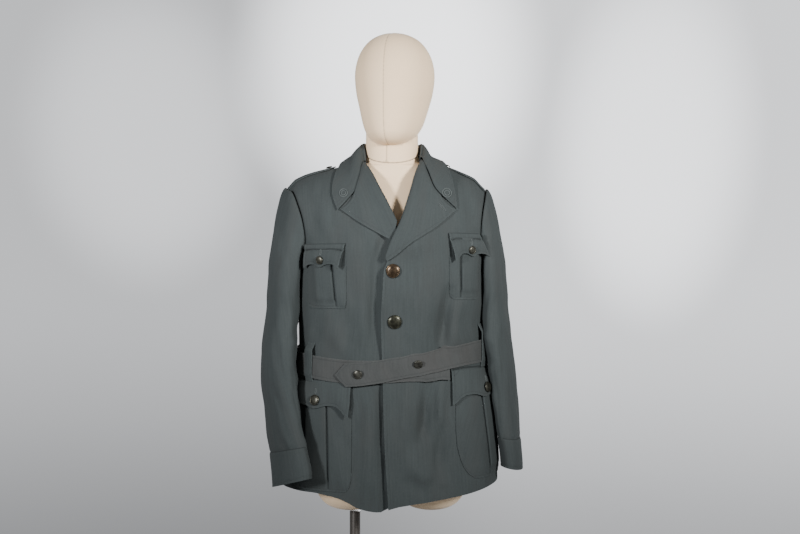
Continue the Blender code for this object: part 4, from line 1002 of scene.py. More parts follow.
def make_sleeve(side):
    sign, low, top = SIGN[side], *SLEEVES[side].keys[[0, -1]]
    first = sleeve_rings(side, np.array([top]))[0]
    upper = 0.5 + 0.5 * np.cos(round_turns(SLEEVE_TURNS))
    clear = SLEEVE_CLEAR[0] + (SLEEVE_CLEAR[1] - SLEEVE_CLEAR[0]) * upper
    start = armhole_loop(side) + join(sign * clear, 0.0, 0.0)
    outward = sign * (HEAD_OUT[0] + HEAD_OUT[1] * upper**HEAD_ROUND)
    leave = join(outward, 0.0, HEAD_UP * upper - HEAD_DOWN * (1 - upper))
    arrive = join(0.0, 0.0, -(HEAD_FALL[0] + HEAD_FALL[1] * upper))
    parts = spacing(HEAD_LENGTH, SLEEVE_STEP, NEAR_SEAM)
    head = np.array([hermite(start, leave, first, arrive, part) for part in parts])
    last = low + SLEEVE_LAST
    heights = np.append(np.arange(top - SLEEVE_STEP, last + SLEEVE_LAST, -SLEEVE_STEP), last)
    inside = -INSIDE_CUFF * smooth((low + CUFF_DEPTH + INSIDE_START[0] - heights) / INSIDE_START[1])
    arm = sleeve_rings(side, heights, inside[:, None])
    points = np.concatenate([head, arm])
    normals = grid_normals(points, True)
    core = points.mean(axis=1, keepdims=True)
    normals *= np.sign((normals * (points - core)).sum())
    points = beside_body(points + normals * sleeve_relief(points, side)[..., None], side)
    held = {"core": np.array(SLEEVE_CORE) * (sign, 1, 1), "held": "hung", "rests_on": f"front_{side}_cloth"}
    make_cloth(f"sleeve_{side}", points, "", "B", "", closed=True, **held)


def make_cuff(side):
    low = SLEEVES[side].keys[0]
    heights = low + CUFF_DEPTH * (1 - spacing(CUFF_DEPTH, CLOTH_STEP, NEAR_EDGE, NEAR_EDGE))
    grow = CUFF_TOP_OUT + (CUFF_LOW_OUT - CUFF_TOP_OUT) * smooth((low + CUFF_DEPTH - heights) / CUFF_DEPTH)
    points = beside_body(sleeve_rings(side, heights, grow[:, None]), side)
    core = points.mean(axis=(0, 1)) * (1, 1, 0)
    rests_on = f"sleeve_{side}_cloth"
    make_cloth(f"cuff_{side}", points, "T", "B", closed=True, core=core, wall=CUFF_WALL, rests_on=rests_on)


# ---- Lapels and collar ----

LAPEL_OUT = 0.0034  # the lapel's middle surface over the front's outside
LAPEL_SWELL = 0.0026  # how far it stands up beside its roll
ROLL_RADIUS = 0.0024
ROLL_UNDER = 0.0055  # how far the cloth runs back under the front's edge
ROLL_TURNS = np.radians((-90, -60, -30, 0, 30, 60, 90))
ROLL_INNER = -0.0014  # place of that inner end against the front's outside
LAPEL_LENGTH, LAPEL_WIDTH = 0.24, 0.085
SWELL_PLACE = (0.013, 0.012)  # from the roll, and half-width
SWELL_NARROW = 0.05  # where the lapel is narrower it swells less
# Seam of collar and lapel from the neck to the notch, as (across, height), and the corners beyond it.
GORGE = {
    "right": in_metres((-62.5, 1550), (-69, 1523.6), (-75.1, 1499.3), (-79.9, 1479.7)),
    "left": in_metres((59.5, 1554), (71.1, 1524), (83, 1492), (91.7, 1479.2), (97.4, 1473.4)),
}
LAPEL_TIP = {"right": in_metres(-106.8, 1441.8), "left": in_metres(128.5, 1442)}
COLLAR_TIP = {"right": in_metres(-113.5, 1441.2), "left": in_metres(130, 1445.2)}
GORGE_GAP = 0.0002
NOTCH_OPEN = 0.0058  # how wide the slit between lapel and collar opens
NOTCH_BLUNT = 0.8
GORGE_POINTS, NOTCH_POINTS = 40, 20
# Roll line from the break up, and the outer edge from the break to the tip.
ROLL = {
    "left": in_metres(
        (-16, 1343), (-2.9, 1381), (13.5, 1415), (25.7, 1451), (37.2, 1489.5), (46.8, 1523.6),
        (59.5, 1554),
    ),
    "right": in_metres((8, 1418), (-8, 1451), (-28.2, 1489.5), (-45.2, 1523.6), (-62.5, 1550)),
}
LAPEL_EDGE = {
    "left": in_metres((-11, 1337), (7.5, 1350), (40, 1376), (87, 1406.5), (128.5, 1442)),
    "right": in_metres((3, 1379), (-8.3, 1382), (-56, 1408), (-106.8, 1441.8)),
}


def top_line(side, tip, gap, open_by=0.0):
    """The gorge and the free edge past the notch, moved aside by half a gap and bowed to open the notch."""
    gorge = curve_line(GORGE[side], np.linspace(0, 1, GORGE_POINTS)) + (gap, 0)
    shares = np.linspace(0, 1, NOTCH_POINTS)[1:]
    run = np.array(tip) - gorge[-1]
    aside = SIGN[side] * np.array((run[1], -run[0])) / np.hypot(*run)
    bow = open_by * np.sin(np.pi * shares**NOTCH_BLUNT)[:, None]
    return np.concatenate([gorge, curve_line((gorge[-1], tip), shares) + aside * bow])


def front_place(side, flat, out):
    """Places on a front by (across, height), over its own lift."""
    point = front_out(flat[..., 0], flat[..., 1], out)
    if side == "left":
        point[..., 1] -= lift(flat[..., 0], flat[..., 1])
    return point


def gorge_lines(side, tip, out):
    """The seam of collar and lapel, and the free edge past the notch."""
    seam = curve_line(GORGE[side], np.linspace(0, 1, GORGE_POINTS))
    notch = curve_line((GORGE[side][-1], tip), np.linspace(0, 1, NOTCH_POINTS))
    return front_place(side, seam, out), front_place(side, notch, out)


def make_lapel(side):
    sign = SIGN[side]
    v = spacing(LAPEL_LENGTH, FINE_STEP, NEAR_SEAM, NEAR_EDGE)
    u = spacing(LAPEL_WIDTH, FINE_STEP, None, NEAR_EDGE)
    roll, outer = curve_line(ROLL[side], v), curve_line(LAPEL_EDGE[side], v)
    top = along_line(top_line(side, LAPEL_TIP[side], -sign * GORGE_GAP, NOTCH_OPEN), u)
    bottom = along_line((roll[0], outer[0]), u)
    flat = coons(bottom, top, roll, outer, u, v)
    inward = flat[:, 3] - flat[:, 0]
    inward = unit(np.where(np.linalg.norm(inward, axis=-1, keepdims=True) > 1e-4, inward, (sign * 0.5, 0.3)))
    columns = [front_place(side, flat[:, 0] + inward * ROLL_UNDER, ROLL_INNER)]
    for turn in ROLL_TURNS:
        out = LAPEL_OUT - ROLL_RADIUS * (1 - math.sin(turn))
        inside = ROLL_RADIUS * (1 - math.cos(turn))
        columns.append(front_place(side, flat[:, 0] + inward * inside, out))
    width = np.linalg.norm(flat[:, -1] - flat[:, 0], axis=-1)[:, None]
    away, reach = SWELL_PLACE
    swell = LAPEL_SWELL * hump(u[None] * width - away, reach) * smooth(width / SWELL_NARROW)
    start = np.searchsorted(u * LAPEL_WIDTH, ROLL_RADIUS + 0.001)
    body = front_place(side, flat, LAPEL_OUT + swell)[:, start:]
    points = np.concatenate([np.stack(columns, axis=1), body], axis=1)
    seam, notch = gorge_lines(side, LAPEL_TIP[side], LAPEL_OUT)
    rests_on = f"front_{side}_cloth"
    make_cloth(f"lapel_{side}", points, "R", "", "RT", [notch], [seam], centred=True, rests_on=rests_on)


COLLAR_SIDES = {
    "right": {
        "fold": in_metres(
            (0, 76, 1594), (-36, 68, 1595), (-60, 40, 1596), (-68, 8, 1594), (-67.5, -12, 1582),
            (-64, -34, 1556),
        ),
        "edge": in_metres(
            (0, 104, 1536), (-45, 98, 1540), (-82, 70, 1546), (-106, 30, 1553), (-115, -12, 1549),
            (-122.5, -52, 1516), (-125.5, -88, 1476), (-113.5, -112, 1441.2),
        ),
    },
    "left": {
        "fold": in_metres(
            (0, 76, 1594), (36, 68, 1595), (58, 40, 1595), (64, 8, 1593), (64, -12, 1582), (61, -34, 1556),
        ),
        "edge": in_metres(
            (0, 104, 1536), (45, 98, 1540), (76, 70, 1547), (92, 30, 1556), (101, -12, 1550),
            (116, -52, 1516), (127, -88, 1478), (130, -112, 1445.2),
        ),
    },
}
FOLD_RADIUS = 0.0026
COLLAR_OUT = 0.0045
STAND_HEIGHT = 0.030
STAND_DROP = 0.62  # share of the stand's height that it has lost at the collar's front ends
FALL_BULGE = 0.006
NECK_MIDDLE = (0.004, 0.010)
OVER_FRONT = -0.02  # before this the fall lies on the fronts
MIDDLE_RISE = 0.6
CLEAR_ROUNDS = 4
CLEAR_MOVE = 0.01
PLAN_STEP = 0.002


def height_over(across, forward):
    """Height of the upper body's surface over a place in plan."""
    back = forward > 0
    deep = depth_at(across, ARM_HEIGHT, MIDDLE_RISE, back) / crest(MIDDLE_RISE, back)
    share = np.abs(forward) / deep
    rise = np.where(back, uncrest(share, BACK_CREST), uncrest(share, FRONT_CREST))
    return ARM_HEIGHT + rise * (shoulder_line(across) - ARM_HEIGHT)


def keep_clear(points, clearance):
    """The points, moved out of the upper body where they are nearer to it than the clearance."""
    points = points.copy()
    for _ in range(CLEAR_ROUNDS):
        x, y, z = np.moveaxis(points, -1, 0)
        right, left = height_over(x + PLAN_STEP, y), height_over(x - PLAN_STEP, y)
        behind, before = height_over(x, y + PLAN_STEP), height_over(x, y - PLAN_STEP)
        slope = join((right - left) / (2 * PLAN_STEP), (behind - before) / (2 * PLAN_STEP), -1.0)
        away = (z - height_over(x, y)) / np.linalg.norm(slope, axis=-1)
        move = np.clip(clearance - away, 0, CLEAR_MOVE)
        points = points - unit(slope) * move[..., None]
    return points


COLLAR_WIDTH, COLLAR_LENGTH = 0.062, 0.29  # of one half's fall
COLLAR_STEP = 0.0038
COLLAR_U = spacing(COLLAR_WIDTH, COLLAR_STEP, None, NEAR_EDGE)
COLLAR_V = spacing(COLLAR_LENGTH, CLOTH_STEP, None, NEAR_EDGE)
COLLAR_END_IN = 0.0006  # how much nearer to the front its ends lie
COLLAR_CLEAR_IN = 0.0008  # and its fall may come
COLLAR_JOIN = (0.75, 0.25)  # share of its length from which it is drawn to its seam
STAND_SHARES = np.linspace(0, 1, 7)
FOLD_TURNS = np.radians((30, 60, 90, 120, 150))


def collar_half(side):
    """Rows of the collar's fall from the centre back to the front end, each from the fold to the edge."""
    sign = SIGN[side]
    fold, edge = (curve_line(COLLAR_SIDES[side][name], COLLAR_V) for name in ("fold", "edge"))
    end_flat = top_line(side, COLLAR_TIP[side], sign * GORGE_GAP)
    end = along_line(front_place(side, end_flat, COLLAR_OUT - COLLAR_END_IN), COLLAR_U)
    near_end = smooth((COLLAR_V - COLLAR_JOIN[0]) / COLLAR_JOIN[1])[:, None]
    fold, edge = fold + (end[0] - fold[-1]) * near_end, edge + (end[-1] - edge[-1]) * near_end
    start = along_line((fold[0], edge[0]), COLLAR_U)
    fall = coons(start, end, fold, edge, COLLAR_U, COLLAR_V)
    extra = np.where(fall[..., 1] < OVER_FRONT, lift(fall[..., 0], fall[..., 2]), 0.0) * (side == "left")
    bulge = FALL_BULGE * np.sin(np.pi * COLLAR_U)[None] * (1 - COLLAR_V)[:, None]
    out = unit(join(fall[..., 0], fall[..., 1] - NECK_MIDDLE[1], 0.0))
    return keep_clear(fall + out * bulge[..., None], COLLAR_OUT - COLLAR_CLEAR_IN + extra)


def collar_columns(fall):
    """Each row of the fall, with the fold and the stand before it from the stand's foot up."""
    fold = fall[:, 0]
    out = unit(join(fold[:, 0], fold[:, 1] - NECK_MIDDLE[0], 0.0))
    up = np.array((0.0, 0.0, 1.0))
    tall = (STAND_HEIGHT * (1 - STAND_DROP * COLLAR_V**3))[:, None]
    inner = fold - out * 2 * FOLD_RADIUS - up * FOLD_RADIUS
    columns = [inner - up * tall * (1 - share) for share in STAND_SHARES]
    for turn in FOLD_TURNS:
        back_off = out * FOLD_RADIUS * (1 + math.cos(turn))
        columns.append(fold - back_off + up * FOLD_RADIUS * (math.sin(turn) - 1))
    return np.concatenate([np.stack(columns, axis=1), fall[:, 1:]], axis=1)


def make_collar():
    right, left = (collar_columns(collar_half(side)) for side in SIGN)
    points = np.concatenate([right[:0:-1], left]).swapaxes(0, 1)
    seams, notches = zip(*(gorge_lines(side, COLLAR_TIP[side], COLLAR_OUT) for side in SIGN))
    core = (0.0, 0.02, 0.0)
    held = {"core": core, "rests_on": "back_cloth"}
    make_cloth("collar", points, "T", "", "TLR", notches, seams, centred=True, **held)


# ---- Shoulder straps ----

STRAP_HALF = 0.021
STRAP_OUT = 0.0036
STRAPS = {"right": (0.2290, 0.1230), "left": (0.1972, 0.0985)}  # its outer end, and its point
STRAP_POINT = 0.016
STRAP_LENGTH = 0.095


def strap_point(side, across, forward, out):
    """Places over the shoulder line, by how far they are in front of it."""
    x, y = np.broadcast_arrays(SIGN[side] * np.asarray(across, float), -np.asarray(forward, float))
    return keep_clear(join(x, y, height_over(x, y)), out)


def make_strap(side):
    outer, inner = STRAPS[side]
    aside = 2 * spacing(2 * STRAP_HALF, FINE_STEP, NEAR_EDGE, NEAR_EDGE)[:, None] - 1
    along = spacing(STRAP_LENGTH, FINE_STEP, NEAR_SEAM, NEAR_EDGE)[None]
    across = outer + (inner + STRAP_POINT * np.abs(aside) - outer) * along
    points = strap_point(side, across, STRAP_HALF * aside, STRAP_OUT)
    core = (SIGN[side] * 0.16, 0.0, 1.2)
    make_cloth(f"shoulder_strap_{side}", points, "BTR", "L", core=core, rests_on="back_cloth")


# ---- Pockets and flaps ----

PATCH_EDGE_OUT = 0.0019  # where a pocket is stitched down
PATCH_OUT = 0.0036  # in its middle
PATCH_SWELL = 0.026  # from its edge to where it has swollen
PLEAT_OUT = 0.0026
PLEAT_SLIT = 0.0034  # the inner fold of each pleat opens this deep
PLEAT_SLIT_WIDTH = 0.0013
PLEAT_SLOPE = 0.008  # over which the outer fold comes down
PLEAT_END = 0.7  # share of the corner's width that a pleat ends above the pocket's lower edge
PLEAT_EDGE = (0.0002, 0.0009)  # place and width of the sharp fold
PLEAT_START = 0.010  # over which it rises at its lower end
PLEAT_NEAR = 0.0072  # no even columns this near to a fold
POCKET_STEP = 0.0050
# Distances round the body of the edges, heights, the pleat and its half, how far the foot leans, the corners.
POCKETS = millimetres(
    "inner outer top bottom pleat pleat_half lean corner corner_height",
    (-96.5, -195, 1360, 1240, -153, 22, 11.5, 16, 16),
    (117, 199, 1385, 1258, 168, 25, 2, 16, 16),
    (-85, -250, 1090, 869, -167, 26, 6, 22, 36),
    (130, 295, 1110, 890, 216, 26, 34, 20, 100),
)
PATCHES = ("chest_{}_right", "chest_{}_left", "skirt_{}_right", "skirt_{}_left")
PLEAT_SIDES = np.array((-0.0062, -0.0042, -0.0028, -0.0016, -0.0006, 0.0, 0.0005, 0.0014, 0.0030, 0.0052))


def pleat_out(distance, row):
    """A pleat's height over its pocket: a sharp fold with an open slit inward, a soft one outward."""
    inner, outer, _, _, pleat, half, *_ = row
    sign = math.copysign(1, outer - inner)
    past_inner = (distance - pleat) * sign + half
    past_outer = half - (distance - pleat) * sign
    up = smooth((past_inner + PLEAT_EDGE[0]) / PLEAT_EDGE[1])
    up = up * smooth((past_outer + PLEAT_SLOPE / 2) / PLEAT_SLOPE)
    return PLEAT_OUT * up - PLEAT_SLIT * hump(past_inner + PLEAT_SLIT_WIDTH, PLEAT_SLIT_WIDTH)


def pocket_columns(row):
    """Distances across a pocket at its top, closer together at its edges and beside its pleat."""
    inner, outer, _, _, pleat, half, *_ = row
    sign = math.copysign(1, outer - inner)
    evenly = inner + (outer - inner) * spacing(abs(outer - inner), POCKET_STEP, NEAR_EDGE, NEAR_EDGE)
    folds = [pleat - sign * half + PLEAT_SIDES * sign, pleat + sign * half + PLEAT_SIDES[::-3] * sign]
    near_fold = np.min([np.abs(evenly - (pleat + side * half)) for side in (-1, 1)], axis=0) < PLEAT_NEAR
    columns = np.concatenate([evenly[~near_fold], *folds])
    columns = columns[(columns - inner) * (columns - outer) <= 1e-9]
    return np.sort(columns) if sign > 0 else np.sort(columns)[::-1]


def make_pocket(name, row, flap):
    inner, outer, top, bottom, pleat, half, lean, corner, corner_height = row
    columns = pocket_columns(row)[None]
    share = spacing(top - bottom, POCKET_STEP, NEAR_EDGE)[:, None]
    edge = np.minimum(np.abs(columns - inner), np.abs(outer - columns))
    cut = np.clip(1 - edge / corner, 0, 1)
    low = bottom + corner_height * (1 - np.sqrt(1 - cut * cut))
    height = low + (top - low) * share
    moved = columns + lean * (1 - share) * np.clip(edge / corner, 0, 1)
    inside = np.minimum(edge, height - low)
    out = PATCH_EDGE_OUT + (PATCH_OUT - PATCH_EDGE_OUT) * smooth(inside / PATCH_SWELL)
    over_end = smooth((height - low - corner * PLEAT_END) / PLEAT_START)
    out = out + pleat_out(columns, row) * over_end
    points = skin().at(moved, height, out)
    fold = pleat - math.copysign(half + PLEAT_SLIT_WIDTH, outer - inner)
    slit = points[5:, np.abs(columns[0] - fold).argmin()]
    # the pleat's slit and the lines behind the flap's edge are passed as seams, so the cloth dips a little
    # there and is darkened as painted shade
    lines, rests_on = [slit, *flap_shadow_lines(inner, flap)], f"front_{name.split('_')[-1]}_cloth"
    make_cloth(name, points, "LRB", seam_lines=lines, rests_on=rests_on, inset=POCKET_INSET, width_row=-1)


def flap_shadow_lines(inner, flap):
    """Lines on a pocket behind the free inner edge of its flap, along which the seam darkening paints the
    flap's shadow.
    """
    top_inner, _, low_inner, _, top, bottom, *_ = flap
    share = np.linspace(SHADE_START, 1.0, SHADE_POINTS)
    edge = top_inner + (low_inner - top_inner) * share
    height = top + (bottom - top) * share
    return [skin().at(inner + (edge - inner) * part, height, PATCH_EDGE_OUT) for part in SHADE_PLACES]


POCKET_INSET = 0.0040
SHADE_START, SHADE_POINTS = 0.15, 12  # of the lines of painted shadow behind a flap's edge
SHADE_PLACES = (0.4, 0.8)  # shares of the way from the pocket's edge to the flap's
FLAP_OUT = 0.0050  # at its top seam
FLAP_LOW_OUT = 0.0100
FLAP_STEEP = 0.75
# Edges at the top and low down, heights, how far the inner corner drops, the inner edge's curl forward, and
# the distance past which the flap leaves the body in a straight line.
FLAPS = millimetres(
    "inner outer low_inner low_outer top bottom drop curl straight",
    (-97.5, -193, -108.5, -195.5, 1373, 1324, 4, 6.5, -170),
    (114.5, 186, 124, 215, 1395, 1346, 9, 6, 140),
    (-83, -240, -90, -236, 1104, 1033, 15, 3, -250),
    (119, 293, 121, 287, 1128, 1053, 12, -2.5, 290),
)
FLAP_POINT = 0.0068
FLAP_POINT_REACH = 0.11  # how far each point reaches sideways, as a share of the flap's width
FLAP_DROP_REACH = 0.10  # and its lower inner corner
FLAP_TOP_STITCH = 0.0133  # the second row of stitches under a flap's top seam
STITCH_SIDES = np.array((-0.0030, -0.0014, 0.0, 0.0014, 0.0030))  # rows of the flap beside it
FLAP_CURL_WIDTH = 0.024
FLAP_WAY = 0.002  # length over which a flap's direction is read where it leaves the body
FLAP_GROOVE = (0.0018, 0.0020)  # depth and half-width of the dip along that row of stitches
FLAP_WAVE = (0.0006, 1.5, 0.2)  # height, number and start of the waves of its lower edge


def flap_edge(share):
    """Lower edge of a three-pointed flap: its corners and its middle hang, the rest curves up."""
    return FLAP_POINT * (1 - sum(hump(share - middle, FLAP_POINT_REACH) for middle in (0, 0.5, 1)))


def flap_point(straight, distance, height, out):
    """Places on a flap, which leaves the body in a straight line past a distance round it."""
    distance, height, out = np.broadcast_arrays(distance, height, out)
    past = np.maximum(np.abs(distance) - abs(straight), 0.0)
    sign = math.copysign(1, straight)
    near = skin().at(np.where(past > 0, straight, distance), height, out)
    before = skin().at(np.full(distance.shape, straight - sign * FLAP_WAY), height, out)
    way = unit(skin().at(np.full(distance.shape, straight), height, out) - before)
    return near + way * past[..., None]


def make_flap(name, row):
    inner, outer, low_inner, low_outer, top, bottom, drop, curl, straight = row
    share = spacing(abs(outer - inner), CLOTH_STEP, NEAR_EDGE, NEAR_EDGE)[None]
    down = 1 - spacing(top - bottom, FINE_STEP, NEAR_EDGE, NEAR_SEAM)
    stitch = FLAP_TOP_STITCH / (top - bottom)
    near_stitch = stitch + STITCH_SIDES / (top - bottom)
    down = np.concatenate([down[np.abs(down - stitch) * (top - bottom) > FINE_STEP], near_stitch])
    down = np.sort(down)[::-1][:, None]
    start = inner + (low_inner - inner) * down
    end = outer + (low_outer - outer) * down
    height = top + (bottom + flap_edge(share) - drop * hump(share, FLAP_DROP_REACH) - top) * down
    out = FLAP_OUT + (FLAP_LOW_OUT - FLAP_OUT) * smooth(down / FLAP_STEEP)
    out = out - FLAP_GROOVE[0] * hump((top - height) - FLAP_TOP_STITCH, FLAP_GROOVE[1])
    out = out + FLAP_WAVE[0] * np.sin(2 * np.pi * (share * FLAP_WAVE[1] + FLAP_WAVE[2])) * down
    out = out + curl * hump(share * abs(outer - inner), FLAP_CURL_WIDTH) * smooth(down)
    points = flap_point(straight, start + (end - start) * share, height, out)
    second = points[np.abs(down[:, 0] - stitch).argmin(), 3:-3]
    rests_on = f"front_{name.split('_')[-1]}_cloth"
    # the second row of stitches is passed as a seam, so the cloth dips there and is darkened as painted shade
    surface = make_cloth(name, points, "LRB", "T", seam_lines=[second], rests_on=rests_on)
    sew(surface, "T", "LR", np.full(points.shape[:2], FAR), FLAP_TOP_STITCH)


# ---- Belt and its loops ----

BELT_WIDTH = 0.048
BELT_OUT = 0.0084
BELT_OVER = 0.0036
BELT_UNDER = millimetres(
    "along height",
    (-600, 1138), (-300, 1130), (-180, 1119), (-120, 1112), (-60, 1109), (20, 1113.5), (115, 1116.5),
)
BELT_UPPER = millimetres(
    "along height",
    (-135, 1102), (-70, 1104.5), (0, 1116), (80, 1131), (140, 1143), (200, 1148), (320, 1150), (600, 1138),
)
BELT_TIP = -0.1170
BELT_END = 0.1150
BELT_POINT = 0.022
BELT_SETTLE = (0.01, 0.05)
BELT_WAVES = 0.0008  # how unevenly the belt lies
BELT_WAVE_LENGTH = 0.13
BELT_STEP = 0.0050
BELT_BEHIND = -0.3  # where the belt's height gives the length round the body


def make_belt():
    across = (spacing(BELT_WIDTH, FINE_STEP, NEAR_EDGE, NEAR_EDGE)[:, None] - 0.5) * BELT_WIDTH
    height = float(BELT_UNDER.at(BELT_BEHIND, "height"))
    end_right, end_left = -skin().half_round("right", height), skin().half_round("left", height)
    under = BELT_END + (end_right - BELT_END) * spacing(BELT_END - end_right, BELT_STEP, NEAR_EDGE)
    shares = spacing(end_left - BELT_TIP, BELT_STEP, None, NEAR_EDGE)[None]
    tip = BELT_TIP + BELT_POINT * np.abs(2 * across / BELT_WIDTH)
    upper = end_left + (tip - end_left) * shares
    rise = BELT_OVER * (1 - smooth((upper - BELT_END - BELT_SETTLE[0]) / BELT_SETTLE[1]))
    low = skin().at(under[None], BELT_UNDER.at(under, "height")[None] + across, BELT_OUT + across * 0)
    waves = BELT_WAVES * np.sin(upper * 2 * np.pi / BELT_WAVE_LENGTH) * np.cos(across * np.pi / BELT_WIDTH)
    high = skin().at(upper, BELT_UPPER.at(upper, "height") + across, BELT_OUT + rise + waves)
    points = np.concatenate([low, high[:, 1:]], axis=1)
    make_cloth("belt", points, "LRBT", "", "RBT", material="belt_cloth", rests_on="front_left_cloth")


# Place across, height and half its height.
LOOPS = {"right": (-0.1795, 1.1270, 0.0400), "left": (0.2050, 1.1600, 0.0460)}
LOOP_HALF_WIDTH = 0.0100
LOOP_OUT = 0.0118
LOOP_TOP_OUT = 0.0027
LOOP_FOOT_OUT = 0.0076
LOOP_FLAT = 0.58
LOOP_INSET = 0.0030
LOOP_STEPS = (0.0040, 0.0035)  # along it and across it


def make_loop(side):
    along, middle, half_height = LOOPS[side]
    share = 2 * spacing(2 * half_height, LOOP_STEPS[0], NEAR_EDGE, NEAR_EDGE)[:, None] - 1
    shares = spacing(2 * LOOP_HALF_WIDTH, LOOP_STEPS[1], NEAR_EDGE[:5], NEAR_EDGE[:5])[None]
    aside = (2 * shares - 1) * LOOP_HALF_WIDTH
    end_out = np.where(share < 0, LOOP_FOOT_OUT, LOOP_TOP_OUT)
    out = LOOP_OUT + (end_out - LOOP_OUT) * smooth((np.abs(share) - LOOP_FLAT) / (1 - LOOP_FLAT))
    points = skin().at(along + aside, middle + share * half_height, out + aside * 0)
    make_cloth(f"belt_loop_{side}", points, "LRBT", "", "LR", rests_on="belt_cloth", inset=LOOP_INSET)


# ---- Buttons ----

BUTTON_CLEAR = 0.0006  # from the cloth under a button
BUTTON_DOME = 0.42  # a button's height for its radius
BUTTON_STEPS = 48
# Shares of the radius and of the height: a plain dome in a rolled rim, with a flat back.
BUTTON_PROFILE = (
    (0.04, 1.00), (0.20, 0.992), (0.36, 0.965), (0.52, 0.915), (0.66, 0.835), (0.76, 0.750), (0.81, 0.680),
    (0.845, 0.640), (0.875, 0.665), (0.920, 0.655), (0.965, 0.570), (0.992, 0.440), (1.00, 0.310),
    (0.985, 0.170), (0.950, 0.050), (0.900, 0.0),
)
FRONT_BUTTONS = (
    ("button_front_upper", 0.0, 1.3171, "upper"),
    ("button_front_lower", 0.003, 1.2133, "lower"),
)
FRONT_BUTTON_RADIUS = 0.0145
POCKET_BUTTONS = millimetres(
    "along height radius", (-150, 1340, 8.5), (165, 1361, 8.5), (-160.5, 1050, 11), (207, 1072, 11)
)
POCKET_BUTTON_OUT = 0.0112
BELT_BUTTONS = (("button_belt_end", -0.0700, 0.30), ("button_belt_middle", 0.0490, 0.55))  # droop last
BELT_BUTTON_RADIUS = 0.0095
STRAP_BUTTON_RADIUS = 0.0072
STRAP_BUTTON_IN = 0.016  # from the strap's point
STRAP_BUTTON_OUT = 0.0008  # over the strap, whose curve it must clear
BUTTON_WAY = 0.01  # length over which a button's direction is read
BUTTON_BACK = 0.0015  # how far the shank's foot goes into the cloth
SHANK = (0.34, 0.30)  # shares of the radius at its top and its foot
DROOP_OUT = 0.35  # how far a drooping button's upper edge stands off for its droop
SHARP_ANGLE = math.radians(40)


def closed_mesh(name, rings):
    """A closed mesh on rings of points, its ends filled."""
    rows, columns = rings.shape[:2]
    corner_rows, corner_columns = grid_faces(rows, columns, True)
    faces = (corner_rows * columns + corner_columns % columns).tolist()
    faces += [list(range(columns))[::-1], list(range((rows - 1) * columns, rows * columns))]
    mesh = bpy.data.meshes.new(name)
    mesh.from_pydata(rings.reshape(-1, 3).tolist(), [], faces)
    build = bmesh.new()
    build.from_mesh(mesh)
    bmesh.ops.recalc_face_normals(build, faces=build.faces)
    build.to_mesh(mesh)
    build.free()
    mesh.shade_smooth()
    mesh.set_sharp_from_angle(angle=SHARP_ANGLE)
    return mesh


def turned_rings(profile, steps):
    """Rings round the Z axis through (radius, height) pairs."""
    turn = round_turns(steps)
    radius, height = np.array(profile, float).T[:, :, None]
    return join(np.cos(turn) * radius, np.sin(turn) * radius, height)


def make_button(name, place_at, out, radius, finish, droop=0.0):
    """A domed button on its shank's foot, on the place that a function gives for its distance out."""
    point, above = place_at(out), place_at(out + BUTTON_WAY)
    direction = unit(unit(above - point) - (0, 0, droop))
    height = radius * BUTTON_DOME
    profile = [(share * radius, rise * height) for share, rise in BUTTON_PROFILE]
    profile += [(radius * SHANK[0], 0.0), (radius * SHANK[1], -BUTTON_BACK)]
    rings = turned_rings(profile, BUTTON_STEPS)
    turn = np.array(Vector((0, 0, 1)).rotation_difference(Vector(direction)).to_matrix())
    metal = made_material(f"bronze_{finish}", bronze, finish)
    piece = link(f"{name}_metal", closed_mesh(name, rings @ turn.T + point), metal)
    ride(piece, name, slot="button_bronze")


def make_buttons():
    for name, across, height, finish in FRONT_BUTTONS:
        place_at = functools.partial(front_place, "left", np.array((across, height)))
        make_button(name, place_at, BUTTON_CLEAR, FRONT_BUTTON_RADIUS, finish)
    for name, (along, height, radius), flap in zip(PATCHES, POCKET_BUTTONS.rows, FLAPS.rows):
        place_at = functools.partial(flap_point, flap[-1], along, height)
        make_button("button_" + name.format("flap"), place_at, POCKET_BUTTON_OUT, radius, "pocket")
    for name, along, droop in BELT_BUTTONS:
        place_at = functools.partial(skin().at, along, BELT_UPPER.at(along, "height"))
        out = BELT_OUT + BELT_OVER + BELT_WAVES + BUTTON_CLEAR + BELT_BUTTON_RADIUS * droop * DROOP_OUT
        make_button(name, place_at, out, BELT_BUTTON_RADIUS, "belt", droop)
    for side in SIGN:
        place_at = functools.partial(strap_point, side, STRAPS[side][1] + STRAP_BUTTON_IN, 0.0)
        out = STRAP_OUT + STRAP_BUTTON_OUT
        make_button(f"button_strap_{side}", place_at, out, STRAP_BUTTON_RADIUS, "pocket")


# ---- Stitches, buttonholes and rings ----

HOLE_HALF = 0.0014  # half the width of a worked buttonhole
HOLE_LENGTH = 0.0150
MARK_THREAD = 0.00075  # radius of the thread round a buttonhole
RING_THREAD = 0.0011
RING_SHARES = (1.0, 0.55)  # an outer and an inner ring
MARK_OUT = 0.0004  # of a mark's thread over the cloth that it is on
# Plain rings on the collar's leaves: across, height and radius.
LEAF_RINGS = ((-0.1032, 1.4785, 0.0084), (0.1110, 1.4785, 0.0094))
LAPEL_HOLE = ((0.0943, 1.4537), (0.1080, 1.4412))
CORNER_STITCHES = 0.0150  # legs of the small stitched triangle in a flap's inner corner
CORNER_OUT = 0.0001
HOLE_SQUARE = 1.6  # how straight a buttonhole's sides are
HOLE_PLACE = (0.0015, 0.7)  # from the button's rim, and the share of its length that shows on a flap
HOLE_OUT = 0.0002
HOLE_POINTS, RING_POINTS = 40, 48


def loop_round(start, end):
    """A narrow closed loop round the line from start to end, as flat places."""
    start, end = np.array(start, float), np.array(end, float)
    along = unit(end - start)
    aside = np.array((-along[1], along[0]))
    turn = round_turns(HOLE_POINTS)[:, None]
    middle, reach = (start + end) / 2, np.linalg.norm(end - start) / 2
    shift = np.clip(np.cos(turn) * HOLE_SQUARE, -1, 1) * reach
    return middle + along * shift + aside * np.sin(turn) * HOLE_HALF


